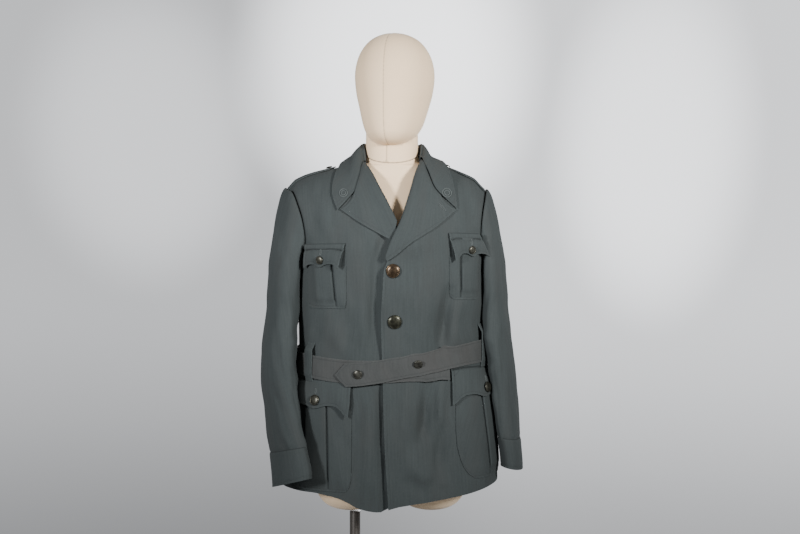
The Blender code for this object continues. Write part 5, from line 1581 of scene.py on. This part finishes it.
def make_marks(name, loops, radius):
    """Closed loops of thick thread, as one mesh."""
    curve = bpy.data.curves.new(name, "CURVE")
    curve.dimensions = "3D"
    curve.bevel_depth = radius
    curve.bevel_resolution = 1
    for points in loops:
        spline = curve.splines.new("POLY")
        spline.points.add(len(points) - 1)
        spline.points.foreach_set("co", np.append(points, np.ones((len(points), 1)), axis=1).ravel())
        spline.use_cyclic_u = True
    source = link(name, curve)
    mesh = evaluated_mesh(source)
    bpy.data.objects.remove(source)
    bpy.data.curves.remove(curve)
    mesh.materials.clear()
    mesh.shade_smooth()
    thread = made_material("mark_thread", strands_of_thread, MARK_PALE)
    ride(link(name, mesh, thread), slot="tunic_cloth")


def on_flap(row, flat, out):
    """Places on a flap by (distance, height), this far out of its plain form."""
    *_, top, bottom, _, _, straight = row
    down = (top - flat[:, 1]) / (top - bottom)
    out = out + FLAP_OUT + (FLAP_LOW_OUT - FLAP_OUT) * smooth(down / FLAP_STEEP)
    return flap_point(straight, flat[:, 0], flat[:, 1], out)


def on_front_of(piece_name, flat, out):
    """Places on the front of a piece by (across, height)."""
    piece = bpy.data.objects[piece_name]
    tree = BVHTree.FromPolygons(
        [vertex.co for vertex in piece.data.vertices],
        [polygon.vertices for polygon in piece.data.polygons],
    )
    spots = []
    for across, height in flat:
        spot, normal, _, _ = tree.ray_cast(Vector((across, -1.0, height)), Vector((0, 1, 0)))
        if spot is None:
            raise ValueError(f"{piece_name} isn't at {across:.3f}, {height:.3f}")
        spots.append(spot + normal * out)
    return np.array(spots)


def make_holes():
    """The buttonholes on the flaps and the lapel, and the rings on the collar's leaves."""
    holes, rings = [], []
    for flap, (along, height, radius) in zip(FLAPS.rows, POCKET_BUTTONS.rows):
        low = height + radius + HOLE_PLACE[0]
        flat = loop_round((along, low), (along, low + HOLE_LENGTH * HOLE_PLACE[1]))
        holes.append(on_flap(flap, flat, HOLE_OUT))
    holes.append(on_front_of("lapel_left_cloth", loop_round(*LAPEL_HOLE), MARK_OUT))
    turn = round_turns(RING_POINTS)
    circle = np.stack([np.cos(turn), np.sin(turn)], axis=1)
    for across, height, radius in LEAF_RINGS:
        for share in RING_SHARES:
            flat = np.array((across, height)) + radius * share * circle
            rings.append(on_front_of("collar_cloth", flat, MARK_OUT))
    make_marks("buttonholes", holes, MARK_THREAD)
    make_marks("leaf_rings", rings, RING_THREAD)


def sew_corners():
    """Notes the small triangle of stitches in each flap's inner top corner."""
    for row in FLAPS.rows:
        inner, outer, _, _, top, *_ = row
        sign = math.copysign(1, outer - inner)
        corner = np.array((inner + sign * sizes().inset, top - FLAP_TOP_STITCH))
        flat = (corner, corner + (sign * CORNER_STITCHES, 0), corner + (0, -CORNER_STITCHES), corner)
        threads.append(on_flap(row, along_line(flat, np.linspace(0, 1, 40)), CORNER_OUT))


STITCH_UNEVEN = 0.1  # share of a stitch's length by which it may be off


def stitch_tree():
    """Geometry Nodes that lay one small grain of thread for each stitch along the lines they are given."""
    tree = bpy.data.node_groups.new("Stitches", "GeometryNodeTree")
    tree.interface.new_socket("Lines", in_out="INPUT", socket_type="NodeSocketGeometry")
    kinds = dict.fromkeys(("Pitch", "Length", "Thickness", "Unevenness"), "Float")
    inputs = {}
    for name, kind in (kinds | {"Seed": "Int", "Material": "Material"}).items():
        socket = tree.interface.new_socket(name, in_out="INPUT", socket_type=f"NodeSocket{kind}")
        inputs[name] = socket.identifier
    tree.interface.new_socket("Stitches", in_out="OUTPUT", socket_type="NodeSocketGeometry")
    nodes = NodeMaker(tree)
    given = {name: nodes.node("NodeGroupInput", output=name) for name in ("Lines", *inputs)}
    lines = nodes.node("GeometryNodeMeshToCurve", Mesh=given["Lines"])
    lines = nodes.node("GeometryNodeResampleCurve", {"mode": "LENGTH"}, Curve=lines, Length=given["Pitch"])
    grain = nodes.node("GeometryNodeMeshUVSphere", Segments=6, Rings=4, Radius=0.5)
    grain = nodes.node("GeometryNodeSetShadeSmooth", Geometry=grain)
    along = nodes.node("GeometryNodeInputTangent")
    turn = nodes.node("FunctionNodeAlignRotationToVector", {"axis": "Z"}, Vector=along)
    least, most = 1 - given["Unevenness"], 1 + given["Unevenness"]
    random = {"Min_001": least, "Max_001": most, "Seed": given["Seed"]}
    long = nodes.node("FunctionNodeRandomValue", {"data_type": "FLOAT"}, "Value_001", **random)
    thick = given["Thickness"]
    size = nodes.node("ShaderNodeCombineXYZ", X=thick, Y=thick, Z=given["Length"] * long)
    laid = nodes.node("GeometryNodeInstanceOnPoints", Points=lines, Instance=grain, Rotation=turn, Scale=size)
    laid = nodes.node("GeometryNodeRealizeInstances", Geometry=laid)
    laid = nodes.node("GeometryNodeSetMaterial", Geometry=laid, Material=given["Material"])
    nodes.node("NodeGroupOutput", output=None, Stitches=laid)
    return tree, inputs


def make_stitches():
    """Every gathered line of stitches, as one mesh."""
    points = np.concatenate(threads)
    edges, start = [], 0
    for line in threads:
        edges += [(start + step, start + step + 1) for step in range(len(line) - 1)]
        start += len(line)
    mesh = bpy.data.meshes.new("stitches")
    mesh.from_pydata(points.tolist(), edges, [])
    piece = link("stitches", mesh)
    tree, inputs = stitch_tree()
    sewing = piece.modifiers.new("Stitches", "NODES")
    sewing.node_group = tree
    values = {
        "Pitch": sizes().stitch_pitch,
        "Length": sizes().stitch_length,
        "Thickness": sizes().thread,
        "Unevenness": STITCH_UNEVEN,
        "Seed": sizes().seed,
        "Material": made_material("sewing_thread", strands_of_thread),
    }
    for name, value in values.items():
        sewing[inputs[name]] = value
    apply_modifiers(piece)
    ride(piece, slot="tunic_cloth")
    print("stitches", len(threads), len(piece.data.polygons))


# ---- Dress form and stand ----

FORM = millimetres(
    "height right left front back",
    (875, 185, 178, 112, 118),
    (920, 194, 186, 118, 124),
    (980, 196, 188, 120, 122),
    (1050, 186, 180, 112, 110),
    (1130, 168, 160, 100, 92),
    (1200, 172, 160, 106, 98),
    (1280, 182, 174, 122, 114),
    (1360, 185, 178, 120, 117),
    (1420, 184, 176, 104, 112),
    (1460, 180, 171, 86, 99),
    (1490, 170, 160, 69, 83),
    (1508, 154, 144, 58, 71),
    (1522, 128, 119, 52, 64),
    (1535, 92, 88, 50, 58),
    (1546, 68, 67, 50.5, 56),
    (1556, 59, 58, 51, 55),
    (1572, 57, 57, 51, 55),
)
FORM_TURNS = 96
FORM_STEP = 0.003
TORSO_FOOT = 0.875
TORSO_TOP = (0.004, 0.0015)  # under the neck's top: where the even rings stop, and the last ring but one
NECK_FOOT = 1.5380
NECK_TOP = 1.5720
NECK_SLOPE = 0.50  # the neck seam drops towards the front
NECK_SHIFT = (-0.0035, 0.004, 0.0)  # of the neck from the middle of the shoulders
NECK_GAP = 0.0004
COVER_DIP = 0.0006  # how far the cover sinks at its seams
COVER_SEAM = 0.0026
THIGH_MIDDLE = {"right": 0.0920, "left": 0.0800}
THIGHS = in_metres(
    (804, 2, 2), (804.4, 12, 14), (806.8, 34, 42), (813, 52, 62), (824, 65, 78), (840, 74, 91),
    (858, 79, 97), (874.7, 81, 100),
)
# The head's sections from under the chin to the crown: half-width, reach forward and back, and height.
HEAD = in_metres(
    (2, 47, -43, 1576.8), (18, 65, -25, 1578), (35, 84, 5, 1585), (49, 95, 35, 1598), (58, 100, 58, 1616),
    (66, 103, 78, 1640), (74, 104, 93, 1670), (82.5, 104, 103, 1705), (86, 102, 107, 1742),
    (81.5, 95, 102, 1772), (71.5, 83, 90, 1795), (56, 64, 71, 1814), (35, 40, 44, 1826.2),
    (12, 14, 15, 1831.8), (1.5, 1, 2, 1832.2),
)
HEAD_TURN = math.radians(-13)
HEAD_MIDDLE = (0.0025, 0.006, 0.0)
CHIN_LIFT = (0.0080, 1.640, 0.060)  # how far the jaw is raised, below which height and how gradually
HEAD_TURNS = 128
NECK_INSIDE = 1.660  # height at which the neck ends inside the head
NECK_INSIDE_SIZE = (0.99, 0.93)
NECK_INSIDE_SHIFT = 0.004
NECK_RINGS = 15
THIGH_TURNS = 64
THIGH_CURVE = (0.13, 0.0040)  # length of its outline from foot to top, and the step along it
HEAD_OUTLINE = 0.62


def form_rings(heights):
    """Rings of the form's torso and neck at these heights."""
    turn = round_turns(FORM_TURNS)[None]
    height = np.asarray(heights, float)[:, None]
    wide = np.where(np.cos(turn) >= 0, FORM.at(height, "left"), FORM.at(height, "right"))
    deep = np.where(np.sin(turn) > 0, FORM.at(height, "back"), FORM.at(height, "front"))
    forward = np.sin(turn) * deep
    upper = smooth((height - NECK_FOOT) / (NECK_TOP - NECK_FOOT))
    rings = join(np.cos(turn) * wide, forward, height + NECK_SLOPE * forward * upper)
    return rings + np.array(NECK_SHIFT) * upper[..., None]


def cover_seams(mesh, lines):
    """Marks and sinks the seams of the form's cover along these lines."""
    points = np.empty(len(mesh.vertices) * 3)
    mesh.vertices.foreach_get("co", points)
    normals = np.empty(len(mesh.vertices) * 3)
    mesh.vertices.foreach_get("normal", normals)
    points, normals = points.reshape(1, -1, 3), normals.reshape(1, -1, 3)
    seam = distance_to(points, lines)
    points = points - normals * (COVER_DIP * hump(seam, COVER_SEAM))[..., None]
    mesh.vertices.foreach_set("co", points.ravel())
    write_values(mesh, seam.shape, seam=seam)
    mesh.update()


def covered(mesh):
    """A piece of the form in its cotton cover."""
    return link(mesh.name, mesh, made_material("cotton_cover", cotton_cover))


def make_torso():
    evenly = np.arange(TORSO_FOOT, NECK_TOP - TORSO_TOP[0], FORM_STEP)
    rings = form_rings(np.append(evenly, (NECK_TOP - TORSO_TOP[1], NECK_TOP)))
    mesh = closed_mesh("form_torso_cover", rings)
    sides = [rings[:, column] for column in (0, FORM_TURNS // 4, FORM_TURNS // 2)]
    cover_seams(mesh, [rings[-1], rings[0], *sides])
    ride(covered(mesh), "form_torso", slot="form_cover")


def make_thigh(side):
    sections = curve_line(THIGHS, spacing(*THIGH_CURVE))
    turn = round_turns(THIGH_TURNS)[None]
    height, wide, deep = sections.T[:, :, None]
    rings = join(SIGN[side] * THIGH_MIDDLE[side] + np.cos(turn) * wide, np.sin(turn) * deep, height)
    mesh = closed_mesh(f"form_thigh_{side}_cover", rings)
    cover_seams(mesh, [rings[-1]])
    ride(covered(mesh), f"form_thigh_{side}", slot="form_cover")


def make_head():
    sections = curve_line(HEAD, spacing(HEAD_OUTLINE, CLOTH_STEP))
    wide, front, back, height = sections.T[:, :, None]
    height = height + CHIN_LIFT[0] * smooth((CHIN_LIFT[1] - height) / CHIN_LIFT[2])
    turn = round_turns(HEAD_TURNS)[None]
    across, forward = np.cos(turn) * wide, (back - front) / 2 + np.sin(turn) * (back + front) / 2
    cosine, sine = math.cos(HEAD_TURN), math.sin(HEAD_TURN)
    rings = join(across * cosine - forward * sine, across * sine + forward * cosine, height)
    rings = rings + np.array(HEAD_MIDDLE)
    foot = form_rings([NECK_TOP])[0] + (0, 0, NECK_GAP)
    wide, deep = NECK_INSIDE_SIZE
    top = join(foot[:, 0] * wide, foot[:, 1] * deep + NECK_INSIDE_SHIFT, NECK_INSIDE)
    neck_rings = foot + (top - foot) * np.linspace(0, 1, NECK_RINGS)[:, None, None]
    head = covered(closed_mesh("form_head_cover", rings))
    neck = link("neck", closed_mesh("neck", neck_rings))
    union = head.modifiers.new("Neck", "BOOLEAN")
    union.operation = "UNION"
    union.object = neck
    apply_modifiers(head)
    bpy.data.objects.remove(neck)
    head.data.shade_smooth()
    column = round((HEAD_TURN / (2 * np.pi) - 0.25) * FORM_TURNS) % FORM_TURNS
    middle, behind = rings[:, HEAD_TURNS * 3 // 4], rings[:, HEAD_TURNS // 4]
    cover_seams(head.data, [middle, behind, neck_rings[:8, column], neck_rings[0]])
    ride(head, "form_head", slot="form_cover")


POLE_ACROSS = -0.0840
POLE_TURNS, BASE_TURNS = 48, 128
POLE_PROFILE = in_metres(
    (1, 794.6), (10.5, 794.6), (11.2, 794.3), (11.5, 793.6), (11.5, 42), (12.2, 39.2), (15, 37.4),
    (19.2, 36.6), (20.6, 35.2), (29, 17.2), (29.8, 16), (30, 14.8), (30, 10.8), (29.6, 10.4), (1, 10.4),
)
BASE_PROFILE = in_metres(
    (1, 10), (190, 10), (206, 10), (207.6, 9.7), (208.9, 9), (209.7, 7.8), (210, 6.2), (210, 1),
    (209.4, 0), (1, 0),
)


def make_stand():
    pole = closed_mesh("pole", turned_rings(POLE_PROFILE, POLE_TURNS) + (POLE_ACROSS, 0, 0))
    base = closed_mesh("base", turned_rings(BASE_PROFILE, BASE_TURNS))
    steel, paint = made_material("brown_steel", brown_steel), made_material("pale_paint", pale_paint)
    ride(link("pole_steel", pole, steel), "stand_pole", slot="pole_steel")
    ride(link("base_steel", base, paint), "stand_base", slot="base_steel")


# ---- Materials ----


class Wire:
    """An output of a node that can be used in sums."""

    def __init__(self, nodes, socket):
        self.nodes = nodes
        self.socket = socket

    def __add__(self, other):
        return self.nodes.math("ADD", self, other)

    def __radd__(self, other):
        return self.nodes.math("ADD", other, self)

    def __sub__(self, other):
        return self.nodes.math("SUBTRACT", self, other)

    def __rsub__(self, other):
        return self.nodes.math("SUBTRACT", other, self)

    def __mul__(self, other):
        return self.nodes.math("MULTIPLY", self, other)

    def __rmul__(self, other):
        return self.nodes.math("MULTIPLY", other, self)


def find_socket(sockets, name):
    """A socket by its identifier, its name or its number."""
    if isinstance(name, int):
        return sockets[name]
    for key in (name, name.replace("_", " ")):
        for socket in sockets:
            if key in (socket.identifier, socket.name):
                return socket
    raise KeyError(name)


class NodeMaker:
    """Adds nodes to a tree, each in one call."""

    def __init__(self, tree):
        self.tree = tree
        tree.nodes.clear()

    def node(self, kind, settings=None, output=0, **values):
        made_node = self.tree.nodes.new(kind)
        for name, value in (settings or {}).items():
            setattr(made_node, name, value)
        for name, value in values.items():
            socket = find_socket(made_node.inputs, name)
            if isinstance(value, Wire):
                self.tree.links.new(value.socket, socket)
            else:
                socket.default_value = value
        return None if output is None else Wire(self, find_socket(made_node.outputs, output))

    def math(self, operation, first, second=0.0):
        return self.node("ShaderNodeMath", {"operation": operation}, Value=first, Value_001=second)

    def steps(self, value, low, high):
        """0 up to low, 1 from high on, and smooth between them."""
        settings = {"interpolation_type": "SMOOTHSTEP"}
        return self.node("ShaderNodeMapRange", settings, Value=value, From_Min=low, From_Max=high)

    def mix(self, share, first, second):
        """A colour between two."""
        values = {"Factor_Float": share, "A_Color": first, "B_Color": second}
        return self.node("ShaderNodeMix", {"data_type": "RGBA"}, "Result_Color", **values)

    def noise(self, place, scale, detail=2.0, roughness=0.5, stretch=(1.0, 1.0, 1.0)):
        if stretch != (1.0, 1.0, 1.0):
            place = self.node("ShaderNodeMapping", None, Vector=place, Scale=stretch)
        grain = {"Scale": scale, "Detail": detail, "Roughness": roughness}
        return self.node("ShaderNodeTexNoise", None, "Fac", Vector=place, **grain)

    def bump(self, strength, height):
        return self.node("ShaderNodeBump", None, Strength=strength, Distance=1.0, Height=height)

    def attribute(self, name):
        return self.node("ShaderNodeAttribute", {"attribute_name": name}, "Fac")

    def place(self):
        """Where a point is on the piece."""
        return self.node("ShaderNodeTexCoord", None, "Object")

    def surface(self, **values):
        shader = self.node("ShaderNodeBsdfPrincipled", None, **values)
        self.node("ShaderNodeOutputMaterial", None, None, Surface=shader)


def shades(base, dark, light):
    """A colour made darker and lighter, with its alpha."""
    return (*(value * dark for value in base), 1.0), (*(value * light for value in base), 1.0)


def made_material(name, build, *given):
    """The material of this name, built by a function from its nodes if it isn't there yet."""
    if name not in bpy.data.materials:
        material = bpy.data.materials.new(name)
        material.use_nodes = True
        build(NodeMaker(material.node_tree), *given)
    return bpy.data.materials[name]


TWILL_PITCH = 0.0017
TWILL_HEIGHT = 0.000018
FIBRE_HEIGHT = 0.000055


def wool(nodes, name):
    """Matt melange wool: flecks, faint upright slubs, a fine twill, edges paler from wear and a painted
    highlight, and painted shade along seams, stitch grooves and behind flap edges.
    """
    base = tuple(colours().belt if name == "belt_cloth" else colours().cloth)
    place = nodes.place()
    weave = nodes.node("ShaderNodeUVMap", {"uv_map": "Weave"})
    flecks = nodes.noise(place, 1300.0, 2.0)
    nap = nodes.noise(place, 260.0, 3.0, 0.6)
    clouds = nodes.noise(place, 11.0, 3.0)
    slubs = nodes.noise(weave, 1.0, 2.0, 0.6, (300.0, 14.0, 1.0))
    tone = 0.5 + (flecks - 0.5) * 0.9 + (nap - 0.5) * 0.5 + (clouds - 0.5) * 0.45 + (slubs - 0.5) * 0.75
    dark, light = shades(base, 0.80, 1.20)
    shade = nodes.mix(nodes.steps(tone, -0.1, 1.1), dark, light)
    faded = nodes.steps(nodes.noise(weave, 1.0, 3.0, 0.55, (16.0, 5.0, 1.0)), 0.42, 0.66)
    shade = nodes.mix(faded * 0.30, shade, (base[0] * 1.12, base[1] * 0.99, base[2] * 0.96, 1.0))
    edge, seam, groove = (nodes.attribute(key) for key in ("edge", "seam", "groove"))
    # paler finished edges: partly wear, partly a painted highlight where the rolled edges catch the light
    worn_and_highlit = (1 - nodes.steps(edge, 0.0003, 0.0024)) * nodes.steps(nap, 0.30, 0.70)
    shade = nodes.mix(worn_and_highlit * 0.45, shade, shades(base, 1.0, 1.70)[1])
    # painted shade: the cloth is darkened along each row of stitches, where its groove would be shaded
    sunk = (1 - nodes.steps(groove, 0.0001, 0.0014)) * 0.22
    shade = nodes.mix(sunk, shade, shades(base, 0.45, 1.0)[0])
    # painted shade: the cloth is darkened at its seams, the gorge, the pleat slits and along the lines behind
    # the flaps' inner edges
    seam_shade = (1 - nodes.steps(seam, 0.0003, 0.0026)) * 0.60
    shade = nodes.mix(seam_shade, shade, shades(base, 0.30, 1.0)[0])
    u, v = (nodes.node("ShaderNodeSeparateXYZ", None, axis, Vector=weave) for axis in ("X", "Y"))
    twill = nodes.math("SINE", (u * 0.8 + v) * (2 * math.pi / TWILL_PITCH))
    height = twill * TWILL_HEIGHT + flecks * FIBRE_HEIGHT + nap * (FIBRE_HEIGHT * 1.6)
    rough = 0.90 + (flecks - 0.5) * 0.08
    sheen = {"Sheen_Weight": 0.02, "Sheen_Roughness": 0.45, "Specular_IOR_Level": 0.10}
    nodes.surface(Base_Color=shade, Roughness=rough, Normal=nodes.bump(0.55, height), **sheen)


MARK_PALE = 1.55  # how much paler the thread of the buttonholes and rings is


def strands_of_thread(nodes, pale=1.0):
    dark, light = shades(colours().thread, 0.70 * pale, 1.35 * pale)
    strands = nodes.noise(nodes.place(), 900.0, 2.0)
    shade = nodes.mix(strands, dark, light)
    nodes.surface(Base_Color=shade, Roughness=0.72 + strands * 0.12, Specular_IOR_Level=0.20)


# Share of each of the bronze's colours, roughness and metal of the buttons' finishes.
BRONZE_FINISHES = {
    "upper": ((1.65, 1.50, 1.50), 0.24, 0.80),
    "lower": ((0.95, 1.28, 1.50), 0.26, 0.75),
    "pocket": ((1.15, 1.50, 1.95), 0.27, 0.70),
    "belt": ((1.40, 1.85, 2.60), 0.30, 0.75),
}


def bronze(nodes, finish):
    """Darkened bronze with brown stains, lighter and darker in random patches."""
    shares, roughness, metal = BRONZE_FINISHES[finish]
    base = tuple(value * share for value, share in zip(colours().bronze, shares))
    place = nodes.place()
    stains = nodes.noise(place, 160.0, 4.0, 0.65)
    specks = nodes.noise(place, 1500.0, 2.0)
    shade = nodes.mix(nodes.steps(stains, 0.32, 0.68), *shades(base, 0.45, 1.45))
    bump = nodes.bump(0.35, stains * 0.00006 + specks * 0.00001)
    rough = roughness + stains * 0.14
    nodes.surface(Base_Color=shade, Metallic=metal, Roughness=rough, Normal=bump, Specular_IOR_Level=0.45)


def cotton_cover(nodes):
    """Stretched cream cotton, its seams sunk and shaded."""
    place = nodes.place()
    threads_across = nodes.noise(place, 700.0, 2.0)
    clouds = nodes.noise(place, 7.0, 3.0)
    tone = 0.5 + (threads_across - 0.5) * 0.5 + (clouds - 0.5) * 0.6
    dark, light = shades(colours().cover, 0.90, 1.08)
    shade = nodes.mix(nodes.steps(tone, 0.1, 0.9), dark, light)
    seam_shade = (1 - nodes.steps(nodes.attribute("seam"), 0.0003, 0.0024)) * 0.65
    shade = nodes.mix(seam_shade, shade, shades(colours().cover, 0.42, 1.0)[0])
    bump = nodes.bump(0.4, threads_across * 0.00005)
    nodes.surface(Base_Color=shade, Roughness=0.84, Normal=bump, Sheen_Weight=0.15, Specular_IOR_Level=0.25)


def brown_steel(nodes):
    place = nodes.place()
    runs = nodes.noise(place, 1.0, 3.0, 0.5, (300.0, 300.0, 14.0))
    grain = nodes.noise(place, 500.0, 2.0)
    nodes.surface(
        Base_Color=nodes.mix(runs, *shades(colours().pole, 0.75, 1.30)),
        Metallic=0.35,
        Roughness=0.40 + grain * 0.12,
        Normal=nodes.bump(0.2, runs * 0.00004),
    )


def pale_paint(nodes):
    place = nodes.place()
    clouds = nodes.noise(place, 22.0, 4.0)
    peel = nodes.noise(place, 420.0, 2.0)
    nodes.surface(
        Base_Color=nodes.mix(clouds, *shades(colours().base, 0.92, 1.06)),
        Roughness=0.42 + clouds * 0.16,
        Normal=nodes.bump(0.25, peel * 0.00006),
    )


def pale_floor(nodes):
    place = nodes.place()
    clouds = nodes.noise(place, 1.6, 4.0)
    grain = nodes.noise(place, 240.0, 2.0)
    nodes.surface(
        Base_Color=nodes.mix(clouds, *shades(colours().floor, 0.96, 1.04)),
        Roughness=0.80 + grain * 0.08,
        Specular_IOR_Level=0.2,
    )


# ---- Stage ----

FLOOR_RADIUS = 2.4
FLOOR_TURNS = 96
CAMERA_PLACE = (0.014, -2.1, 1.325)
CAMERA_LENS, CAMERA_SENSOR = 43.4, 36.0  # millimetres
# Place, aim, size, watts, spread in degrees and colour of each light.
LIGHTS = {
    "key": ((1.40, -1.90, 1.90), (0.03, 0.0, 1.45), 0.36, 9.3, 56, (1.0, 0.99, 0.97)),
    "fill": ((-1.40, -1.90, 1.66), (-0.03, 0.0, 1.43), 0.36, 6.9, 56, (0.99, 0.99, 1.0)),
    "rear": ((0.35, 2.30, 1.60), (0.0, 0.0, 1.20), 0.60, 9.0, 50, (1.0, 1.0, 1.0)),
}
# How bright the backdrop is by direction: left and right, low and high, overhead, behind the camera.
WALL_SIDES = (0.74, 1.22)
WALL_TURN = (-0.12, 0.14)
WALL_HEIGHTS = (0.40, 1.0)
WALL_RISE = (-0.32, -0.01)
WALL_OVERHEAD = (0.32, 0.80, 0.75)  # where it starts and ends to darken, and by how much
WALL_BEHIND = (-0.40, 0.30, 0.66)
# Brighter patches: middle to the left or right, its rise, reach sideways and upwards, and light added.
WALL_PATCHES = (
    (-0.01, 0.20, 0.17, 0.20, 1.60),
    (-0.25, 0.13, 0.13, 0.17, 0.40),
    (0.25, 0.12, 0.11, 0.20, 0.85),
)
WALL_LIGHT = 1.65


def make_floor():
    mesh = bpy.data.meshes.new("floor")
    ring = turned_rings(((FLOOR_RADIUS, 0.0),), FLOOR_TURNS)[0]
    mesh.from_pydata(ring.tolist(), [], [list(range(FLOOR_TURNS))])
    link("floor", mesh, made_material("pale_floor", pale_floor))


def make_light(name, place_at, aim, size, watts, spread, tint):
    lamp = bpy.data.lights.new(name, "AREA")
    lamp.shape = "DISK"
    lamp.size = size
    lamp.energy = watts
    lamp.spread = math.radians(spread)
    lamp.color = tint
    light = bpy.data.objects.new(name, lamp)
    light.visible_camera = False
    way = Vector(aim) - Vector(place_at)
    light.matrix_world = Matrix.Translation(place_at) @ way.to_track_quat("-Z", "Y").to_matrix().to_4x4()
    bpy.context.scene.collection.objects.link(light)


def make_world():
    """A plain pale wall all round, lit softly in patches and darker towards the left and the floor."""
    world = bpy.data.worlds.new("backdrop")
    world.use_nodes = True
    bpy.context.scene.world = world
    nodes = NodeMaker(world.node_tree)
    way = nodes.node("ShaderNodeTexCoord", None, "Generated")
    across, ahead, rise = (nodes.node("ShaderNodeSeparateXYZ", None, axis, Vector=way) for axis in "XYZ")
    before = nodes.steps(ahead, *WALL_BEHIND[:2])
    glow = nodes.steps(across, *WALL_TURN) * (WALL_SIDES[1] - WALL_SIDES[0]) + WALL_SIDES[0]
    for middle, height, reach, tall, light in WALL_PATCHES:
        aside, above = (across - middle) * (1 / reach), (rise - height) * (1 / tall)
        glow = glow + (1 - nodes.steps(aside * aside + above * above, 0.0, 1.0)) * before * light
    high = nodes.steps(rise, *WALL_RISE) * (WALL_HEIGHTS[1] - WALL_HEIGHTS[0]) + WALL_HEIGHTS[0]
    high = high * (1 - nodes.steps(rise, *WALL_OVERHEAD[:2]) * WALL_OVERHEAD[2])
    high = high * (1 - (1 - before) * WALL_BEHIND[2])
    colour_of_wall, strength = (*colours().wall, 1.0), glow * high * WALL_LIGHT
    shader = nodes.node("ShaderNodeBackground", None, Color=colour_of_wall, Strength=strength)
    nodes.node("ShaderNodeOutputWorld", None, None, Surface=shader)


def make_camera():
    camera = bpy.data.objects.new("camera", bpy.data.cameras.new("camera"))
    camera.data.lens = CAMERA_LENS
    camera.data.sensor_width = CAMERA_SENSOR
    camera.matrix_world = Matrix.Translation(CAMERA_PLACE) @ Matrix.Rotation(math.pi / 2, 4, "X")
    bpy.context.scene.collection.objects.link(camera)
    bpy.context.scene.camera = camera


# ---- Operators, one for each group of pieces ----


class TUNIC_OT_body(bpy.types.Operator):
    """Makes the two fronts and the back"""

    bl_idname = "tunic.body"
    bl_label = "Fronts and Back"

    def execute(self, context):
        for side in SIGN:
            make_front(side)
        make_back()
        return {"FINISHED"}


class TUNIC_OT_sleeves(bpy.types.Operator):
    """Makes the sleeves and their cuffs"""

    bl_idname = "tunic.sleeves"
    bl_label = "Sleeves and Cuffs"

    def execute(self, context):
        for side in SIGN:
            make_sleeve(side)
            make_cuff(side)
        return {"FINISHED"}


class TUNIC_OT_collar(bpy.types.Operator):
    """Makes the lapels and the collar"""

    bl_idname = "tunic.collar"
    bl_label = "Lapels and Collar"

    def execute(self, context):
        for side in SIGN:
            make_lapel(side)
        make_collar()
        return {"FINISHED"}


class TUNIC_OT_straps(bpy.types.Operator):
    """Makes the shoulder straps"""

    bl_idname = "tunic.straps"
    bl_label = "Shoulder Straps"

    def execute(self, context):
        for side in SIGN:
            make_strap(side)
        return {"FINISHED"}


class TUNIC_OT_pockets(bpy.types.Operator):
    """Makes the pleated pockets and their flaps"""

    bl_idname = "tunic.pockets"
    bl_label = "Pockets and Flaps"

    def execute(self, context):
        for name, row, flap in zip(PATCHES, POCKETS.rows, FLAPS.rows):
            make_pocket(name.format("pocket"), row, flap)
        for name, row in zip(PATCHES, FLAPS.rows):
            make_flap(name.format("flap"), row)
        return {"FINISHED"}


class TUNIC_OT_belt(bpy.types.Operator):
    """Makes the belt and its loops"""

    bl_idname = "tunic.belt"
    bl_label = "Belt and Loops"

    def execute(self, context):
        make_belt()
        for side in SIGN:
            make_loop(side)
        return {"FINISHED"}


class TUNIC_OT_buttons(bpy.types.Operator):
    """Makes the domed buttons"""

    bl_idname = "tunic.buttons"
    bl_label = "Buttons"

    def execute(self, context):
        make_buttons()
        return {"FINISHED"}


class TUNIC_OT_sewing(bpy.types.Operator):
    """Sews the stitches, the buttonholes and the rings on the collar"""

    bl_idname = "tunic.sewing"
    bl_label = "Stitches and Buttonholes"

    def execute(self, context):
        make_holes()
        sew_corners()
        make_stitches()
        return {"FINISHED"}


class TUNIC_OT_form(bpy.types.Operator):
    """Makes the covered dress form and its stand"""

    bl_idname = "tunic.form"
    bl_label = "Dress Form and Stand"

    def execute(self, context):
        make_torso()
        make_head()
        for side in SIGN:
            make_thigh(side)
        make_stand()
        return {"FINISHED"}


class TUNIC_OT_stage(bpy.types.Operator):
    """Sets the floor, the light, the backdrop and the camera"""

    bl_idname = "tunic.stage"
    bl_label = "Stage"

    def execute(self, context):
        make_floor()
        for name, values in LIGHTS.items():
            make_light(name, *values)
        make_world()
        make_camera()
        return {"FINISHED"}


STEPS = (
    TUNIC_OT_body,
    TUNIC_OT_sleeves,
    TUNIC_OT_collar,
    TUNIC_OT_straps,
    TUNIC_OT_pockets,
    TUNIC_OT_belt,
    TUNIC_OT_buttons,
    TUNIC_OT_sewing,
    TUNIC_OT_form,
    TUNIC_OT_stage,
)


class TUNIC_PT_panel(bpy.types.Panel):
    """Lists the steps that dress the tunic, with its sizes and colours"""

    bl_idname = "TUNIC_PT_panel"
    bl_label = "Tunic"
    bl_space_type = "VIEW_3D"
    bl_region_type = "UI"
    bl_category = "Tunic"

    def draw(self, context):
        for step in STEPS:
            self.layout.operator(step.bl_idname)
        for group in (sizes(), colours()):
            for name in group.bl_rna.properties.keys():
                if name not in ("rna_type", "name"):
                    self.layout.prop(group, name)


CLASSES = (TunicSizes, TunicColours, *STEPS, TUNIC_PT_panel)


def register():
    for kind in CLASSES:
        bpy.utils.register_class(kind)
    bpy.types.Scene.tunic_sizes = PointerProperty(type=TunicSizes)
    bpy.types.Scene.tunic_colours = PointerProperty(type=TunicColours)


def unregister():
    del bpy.types.Scene.tunic_colours
    del bpy.types.Scene.tunic_sizes
    for kind in reversed(CLASSES):
        bpy.utils.unregister_class(kind)


def main():
    register()
    for step in STEPS:
        group, name = step.bl_idname.split(".")
        getattr(getattr(bpy.ops, group), name)()
    for name, cut in cuts.items():
        print("cut", name, *cut)


if __name__ == "__main__":
    main()
